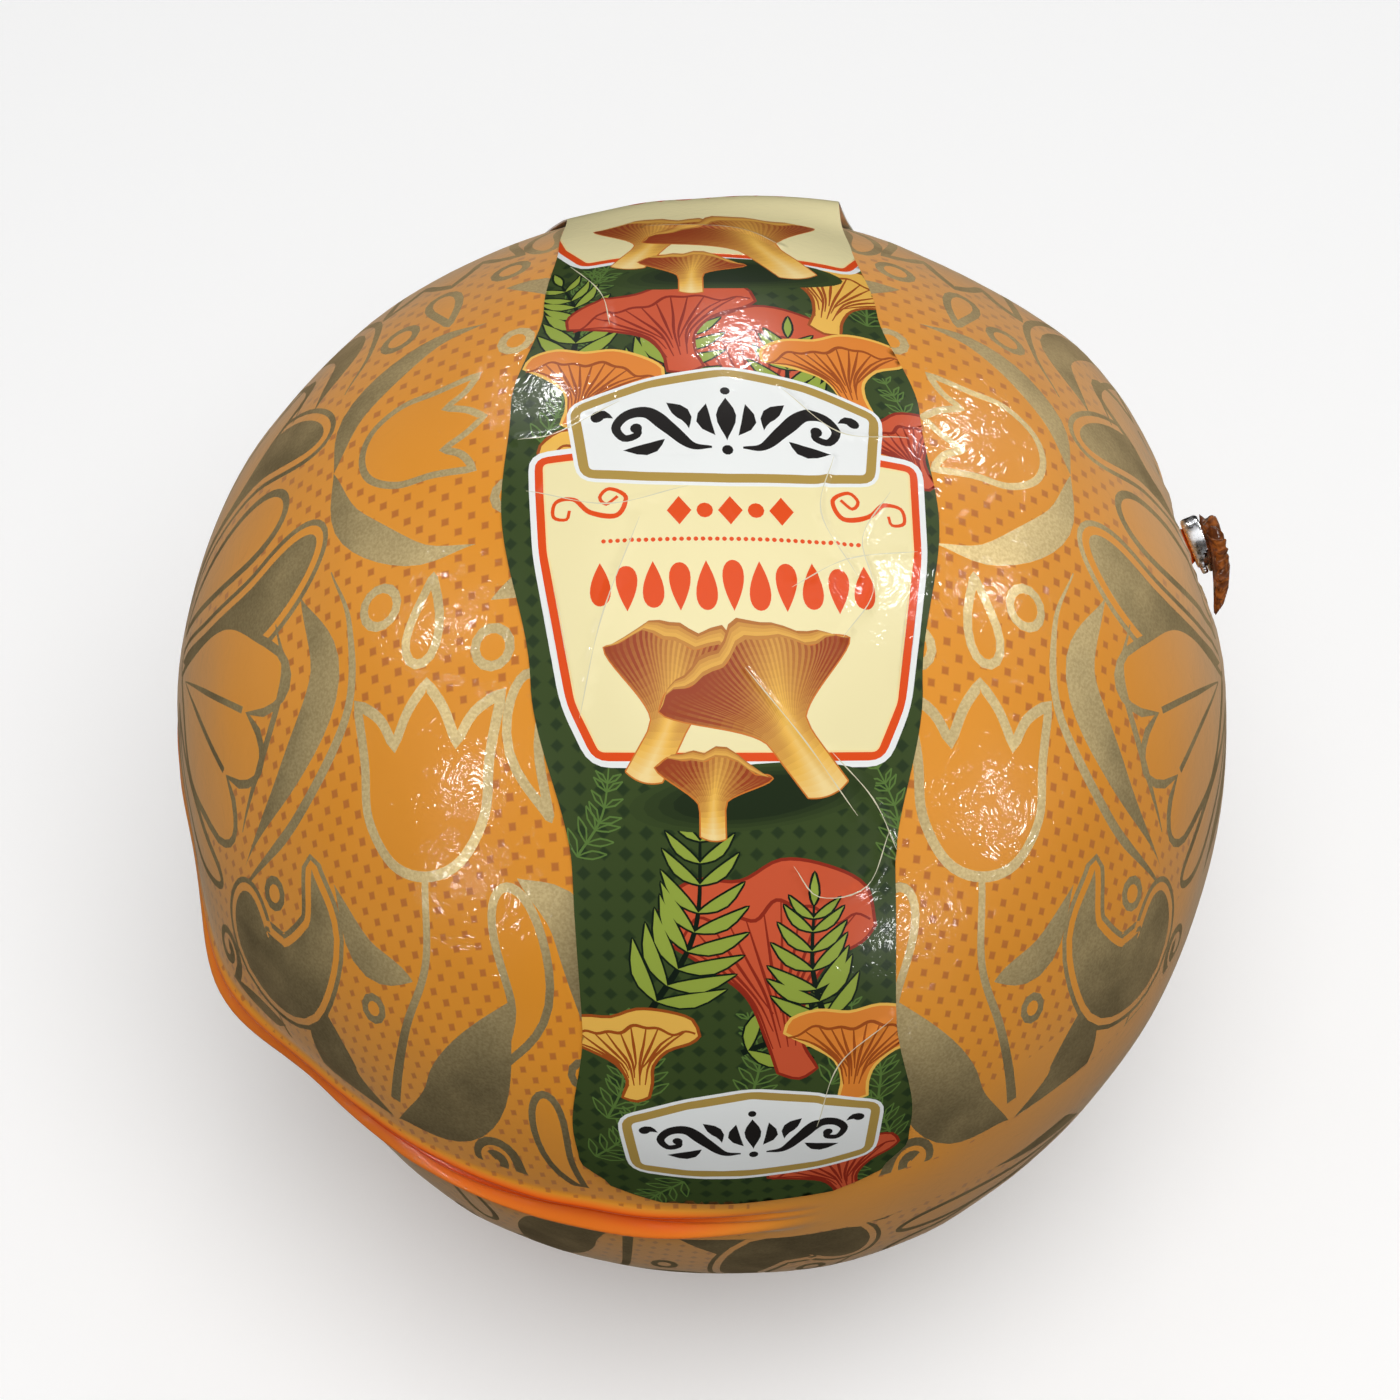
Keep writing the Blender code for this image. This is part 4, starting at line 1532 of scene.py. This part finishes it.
def hazy(tree, base, settings, strength=1.0):
    """Output that pales a colour towards where the film is seen edge on: a painted reflection."""
    facing = put(tree, "ShaderNodeLayerWeight", {"Blend": 0.5}).outputs["Facing"]
    edge = maths(tree, "POWER", facing, RIM_REFLECTION_POWER)
    edge = maths(tree, "MULTIPLY", edge, strength * settings.haze)
    return blend(tree, edge, base, settings.rim)


def film_finish(settings, dotted):
    """Glossy film, with its small printed squares or without."""
    material, tree, shader = new_material(
        "dotted_film" if dotted else "plain_film", settings.roughness, coat_weight=0.32,
        coat_roughness=0.07, specular_ior_level=0.06, sheen_weight=0.22, sheen_roughness=0.3,
        sheen_tint=(1.0, 0.86, 0.68, 1),
    )
    texture = put(tree, "ShaderNodeTexCoord")
    place_at = texture.outputs["Object"]
    cloud = ramp(tree, noise(tree, place_at, 26, 3), 0.35, 0.7)
    base = blend(tree, cloud, settings.base, settings.sheen)
    if dotted:
        dots = shared(
            tree, screen_dots, texture.outputs["UV"], cell=settings.cell, size=settings.dot
        )
        mask = maths(tree, "MULTIPLY", dots.outputs["Mask"], DOT_STRENGTH)
        base = blend(tree, mask, base, settings.dots)
    layers = put(tree, "ShaderNodeAttribute", attribute_name="layers").outputs["Fac"]
    base = blend(tree, ramp(tree, layers, 0.0, -0.5), base, settings.pleat)
    # Painted reflection, paler towards where the film is seen edge on
    base = hazy(tree, base, settings)
    if not dotted:
        streak = ramp(tree, noise(tree, place_at, 420, 3, distortion=1.5), 0.42, 0.6)
        tail = blend(tree, streak, settings.tail, settings.tail_dark)
        base = blend(tree, ramp(tree, layers, 0.0, LAYERS_DOUBLED), base, settings.seal)
        base = blend(tree, ramp(tree, layers, LAYERS_DOUBLED, LAYERS_IN_TAIL), base, tail)
    tree.links.new(base, shader.inputs["Base Color"])
    wrinkled(tree, shader, place_at, *FILM_WRINKLE)
    return material


def ink_finish(settings):
    """Dull gold ink under the film's gloss."""
    material, tree, shader = new_material(
        "gold_ink", 0.5, metallic=0.88, coat_weight=0.3, coat_roughness=0.08
    )
    place_at = put(tree, "ShaderNodeTexCoord").outputs["Object"]
    grain = shared(tree, ink_grain, place_at).outputs
    share = maths(tree, "MULTIPLY", grain["Flakes"], GRAIN_STRENGTH)
    base = blend(tree, share, settings.ink, settings.ink_dark)
    # Painted reflection towards the edges, weaker on the ink
    base = hazy(tree, base, settings, INK_RIM_REFLECTION)
    tree.links.new(base, shader.inputs["Base Color"])
    rough = ramp(tree, grain["Clouds"], 0, 1, 0.48, 0.58)
    tree.links.new(rough, shader.inputs["Roughness"])
    wrinkled(tree, shader, place_at, *FILM_WRINKLE)
    return material


class CHEESE_OT_film(bpy.types.Operator):
    """Printed film on the ball, with its folded seal, pleated gather and crumpled tail"""

    bl_idname = "cheese.film"
    bl_label = "Printed film"

    def execute(self, context):
        settings = context.scene.cheese_film
        shell = Shell()
        add_print(shell, 1)
        add_seal(shell)
        add_print(shell, -1)
        add_gather(shell)
        materials = {
            "dotted": film_finish(settings, True),
            "plain": film_finish(settings, False),
            "ink": ink_finish(settings),
        }
        film = piece_from(shell, "printed_film", materials)
        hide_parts("film_ball")
        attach(film, "root")
        return {"FINISHED"}


def label_finish(settings, name):
    """Glossy printed label, with its place on the ball and in the flat print."""
    material, tree, shader = new_material(
        name, settings.roughness, coat_weight=0.34, coat_roughness=0.08, specular_ior_level=0.1
    )
    texture = put(tree, "ShaderNodeTexCoord")
    wrinkled(tree, shader, texture.outputs["Object"], *LABEL_WRINKLE)
    return material, tree, shader.inputs["Base Color"], texture.outputs["UV"]


def green_finish(settings):
    """Green label ground with small darker diamonds."""
    material, tree, base, flat = label_finish(settings, "label_green")
    turned = put(tree, "ShaderNodeMapping", {
        "Vector": flat, "Rotation": (0, 0, math.radians(45))
    })
    dots = shared(
        tree, screen_dots, turned.outputs[0], cell=settings.cell, size=settings.dot
    )
    tree.links.new(blend(tree, dots.outputs["Mask"], settings.green, settings.diamond), base)
    return material


def paint_finish(settings):
    """Printed colours of the label, from the paint kept at each corner."""
    material, tree, base, _ = label_finish(settings, "label_paint")
    paint = put(tree, "ShaderNodeAttribute", attribute_name="paint").outputs["Color"]
    tree.links.new(paint, base)
    return material


def corner_paint(shown, shapes, paints):
    """Colour at each corner of the triangles: one paint, or two mixed by a share."""
    mixed = np.zeros((len(shapes) + 1, 3))
    for number, (kind, _) in enumerate(shapes):
        if isinstance(kind, str):
            mixed[number] = paints[kind]
        else:
            first, second, share = kind
            mixed[number] = np.array(paints[first]) * (1 - share) + np.array(paints[second]) * share
    return np.repeat(mixed[shown][:, None], 3, axis=1)


class CHEESE_OT_label(bpy.types.Operator):
    """Printed label over the top of the ball, with its buckle and creases"""

    bl_idname = "cheese.label"
    bl_label = "Label"

    def execute(self, context):
        settings = context.scene.cheese_label
        paints = {
            name: tuple(getattr(settings, name))
            for name in settings.bl_rna.properties.keys()
            if name not in ("rna_type", "name", "thickness", "roughness", "cell", "dot")
        }
        edge = label_outline()
        under_lift = LABEL_GAP
        upper_lift = LABEL_GAP + settings.thickness / MM
        shapes = label_art()
        shell = Shell()
        points, triangles, shown = cut_sheet(edge, shapes, LABEL_GRID)
        kinds = ["green" if s < 0 else "paint" for s in shown]
        shell.add(
            label_points(points, upper_lift), label_normals(points, upper_lift), points, triangles,
            kinds, paint=corner_paint(shown, shapes, paints),
        )
        white = np.array(paints["white"])
        below, triangles, _ = cut_sheet(edge, [], LABEL_UNDER_GRID)
        shell.add(
            label_points(below, under_lift), -label_normals(below, under_lift), below,
            triangles[:, ::-1], ["paint"] * len(triangles),
            paint=np.tile(white, (len(triangles), 3, 1)),
        )
        upper = label_points(edge, upper_lift)
        lower = label_points(edge, under_lift)
        out = unit(np.cross(np.roll(upper, -1, 0) - np.roll(upper, 1, 0), upper - lower))
        faces = [face[::-1] for face in grid_faces(2, len(edge))]
        shell.add(
            np.vstack([lower, upper]), np.vstack([out, out]), np.vstack([edge, edge]), faces,
            ["paint"] * len(faces), paint=np.tile(white, (len(faces), 4, 1)),
        )

        materials = {"green": green_finish(settings), "paint": paint_finish(settings)}
        label = piece_from(shell, "printed_label", materials)
        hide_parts("label")
        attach(label, "root")
        return {"FINISHED"}


def clip_finish(settings):
    """Bright drawn metal with fine scratches along it."""
    material, tree, shader = new_material(
        "drawn_metal", settings.roughness, metallic=1.0, base_color=(*settings.metal, 1)
    )
    place_at = put(tree, "ShaderNodeTexCoord").outputs["Object"]
    scratches = noise(tree, place_at, 1400, 3)
    tree.links.new(ramp(tree, scratches, 0.3, 0.7, 0.16, 0.36), shader.inputs["Roughness"])
    bump = put(tree, "ShaderNodeBump", {"Height": scratches, "Distance": 0.00003})
    tree.links.new(bump.outputs["Normal"], shader.inputs["Normal"])
    return material


class CHEESE_OT_clip(bpy.types.Operator):
    """Flat metal wire closed round the film's neck, with its two bent ends"""

    bl_idname = "cheese.clip"
    bl_label = "Clip"

    def execute(self, context):
        settings = context.scene.cheese_clip
        wire = settings.wire
        clear = CLIP_GAP * MM + wire / 2
        bpy.ops.object.select_all(action="DESELECT")
        bpy.ops.curve.primitive_bezier_circle_add(radius=1.0)
        band = context.active_object
        band.name = "clip_band"
        band.data.resolution_u = 16
        band.data.extrude = (settings.width - wire * 0.5) / 2
        band.data.bevel_depth = wire * 0.25
        band.data.bevel_resolution = 3
        bpy.ops.object.mode_set(mode="EDIT")
        bpy.ops.curve.select_all(action="SELECT")
        size = (NECK_LONG * MM + clear, NECK_SHORT * MM + clear, 1)
        bpy.ops.transform.resize(value=size)
        bpy.ops.object.mode_set(mode="OBJECT")
        bpy.ops.object.convert(target="MESH")
        walls = band.modifiers.new("wall", "SOLIDIFY")
        walls.thickness = wire * 0.5
        walls.offset = 0
        bpy.ops.object.modifier_apply(modifier=walls.name)
        ends = [band]
        for side in (-1, 1):
            bpy.ops.object.select_all(action="DESELECT")
            bpy.ops.mesh.primitive_cube_add(size=1)
            end = context.active_object
            end.scale = (CLIP_END * MM, wire, settings.width * 0.46)
            end.location = (
                (NECK_LONG + 0.5) * MM + clear, side * wire * 0.4, side * settings.width * 0.26
            )
            end.rotation_euler = (0, 0, math.radians(CLIP_END_TURN * side))
            bpy.ops.object.transform_apply(location=True, rotation=True, scale=True)
            bevel = end.modifiers.new("edge", "BEVEL")
            bevel.width = wire * 0.3
            bevel.segments = 3
            bpy.ops.object.modifier_apply(modifier=bevel.name)
            ends.append(end)
        bpy.ops.object.select_all(action="DESELECT")
        for end in ends:
            end.select_set(True)
        context.view_layer.objects.active = band
        bpy.ops.object.join()
        turn = Matrix((GATHER_LONG, GATHER_SHORT, GATHER_OUT)).transposed().to_4x4()
        lift = Vector(GATHER_OUT) * CLIP_HEIGHT
        band.matrix_world = Matrix.Translation((Vector(GATHER_ORIGIN) + lift) * MM) @ turn
        bpy.ops.object.transform_apply(location=True, rotation=True, scale=True)
        band.data.shade_smooth()
        bpy.ops.object.shade_smooth_by_angle(angle=math.radians(CLIP_SMOOTH))
        band.data.materials.clear()
        band.data.materials.append(clip_finish(settings))
        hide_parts("clip")
        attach(band, "root")
        return {"FINISHED"}


class CHEESE_OT_stage(bpy.types.Operator):
    """Pale floor, soft lights and the camera"""

    bl_idname = "cheese.stage"
    bl_label = "Stage"

    def execute(self, context):
        settings = context.scene.cheese_stage
        bpy.ops.object.select_all(action="DESELECT")
        bpy.ops.mesh.primitive_plane_add(size=FLOOR_SIZE, location=(0, 0, 0))
        floor = context.active_object
        floor.name = "floor"
        material, _, _ = new_material(
            "floor_paper", 0.8, base_color=(*settings.floor, 1), emission_color=(1, 1, 1, 1),
            emission_strength=settings.glow,
        )
        floor.data.materials.append(material)
        floor.visible_diffuse = False
        floor.visible_glossy = False

        world = bpy.data.worlds.new("studio")
        world.use_nodes = True
        tree = world.node_tree
        way = put(tree, "ShaderNodeSeparateXYZ", {
            "Vector": put(tree, "ShaderNodeTexCoord").outputs["Generated"]
        })
        sky = ramp(tree, way.outputs["Z"], *SKY, settings.room)
        tree.nodes["Background"].inputs["Color"].default_value = (1, 1, 1, 1)
        tree.links.new(sky, tree.nodes["Background"].inputs["Strength"])
        world.cycles_visibility.glossy = False
        context.scene.world = world

        self.light("key", *KEY_LIGHT, settings.key, "diffuse")
        self.light("gloss", *GLOSS_LIGHT, "glossy")
        for number, (azimuth, elevation, power) in enumerate(PANEL_LIGHTS):
            name = f"panel_{number + 1}"
            self.light(name, azimuth, elevation, PANEL_DISTANCE, PANEL_SIZE, power, "glossy")

        tilt = math.radians(CAMERA_ELEVATION)
        forward = np.array([0, math.cos(tilt), -math.sin(tilt)])
        up = np.array([0, math.sin(tilt), math.cos(tilt)])
        aim = BALL_CENTRE + up * CAMERA_AIM_UP + (CAMERA_AIM_RIGHT, 0, 0)
        camera = bpy.data.cameras.new("camera")
        camera.lens = settings.lens
        camera.clip_start = CAMERA_NEAR * MM
        viewer = bpy.data.objects.new("camera", camera)
        viewer.location = (aim - forward * CAMERA_DISTANCE) * MM
        viewer.rotation_euler = (math.pi / 2 - tilt, 0, 0)
        context.scene.collection.objects.link(viewer)
        context.scene.camera = viewer
        context.scene.view_settings.view_transform = "Standard"
        return {"FINISHED"}

    def light(self, name, azimuth, elevation, distance, size, power, lights):
        """One round light that faces the ball, for its diffuse or its glossy side."""
        lamp = bpy.data.lights.new(name, "AREA")
        lamp.shape = "DISK"
        lamp.size = size
        lamp.energy = power
        held = bpy.data.objects.new(name, lamp)
        n = Vector(direction(azimuth, elevation))
        held.location = Vector(BALL_CENTRE) * MM + n * distance
        held.rotation_euler = n.to_track_quat("Z", "Y").to_euler()
        held.visible_diffuse = lights == "diffuse"
        held.visible_glossy = lights == "glossy"
        bpy.context.scene.collection.objects.link(held)


class CHEESE_PT_panel(bpy.types.Panel):
    """Lists the pieces of the ball of cheese"""

    bl_idname = "CHEESE_PT_panel"
    bl_label = "Ball of cheese"
    bl_space_type = "VIEW_3D"
    bl_region_type = "UI"
    bl_category = "Cheese"

    def draw(self, context):
        for operator in OPERATORS:
            self.layout.operator(operator.bl_idname)


SETTINGS = {
    "cheese_film": FilmSettings,
    "cheese_label": LabelSettings,
    "cheese_clip": ClipSettings,
    "cheese_stage": StageSettings,
}
OPERATORS = (CHEESE_OT_film, CHEESE_OT_label, CHEESE_OT_clip, CHEESE_OT_stage)
CLASSES = (*SETTINGS.values(), *OPERATORS, CHEESE_PT_panel)


def register():
    for one in CLASSES:
        bpy.utils.register_class(one)
    for name, kind in SETTINGS.items():
        setattr(bpy.types.Scene, name, PointerProperty(type=kind))


def unregister():
    for name in SETTINGS:
        delattr(bpy.types.Scene, name)
    for one in reversed(CLASSES):
        bpy.utils.unregister_class(one)


def main():
    register()
    bpy.ops.cheese.film()
    bpy.ops.cheese.label()
    bpy.ops.cheese.clip()
    bpy.ops.cheese.stage()


if __name__ == "__main__":
    main()
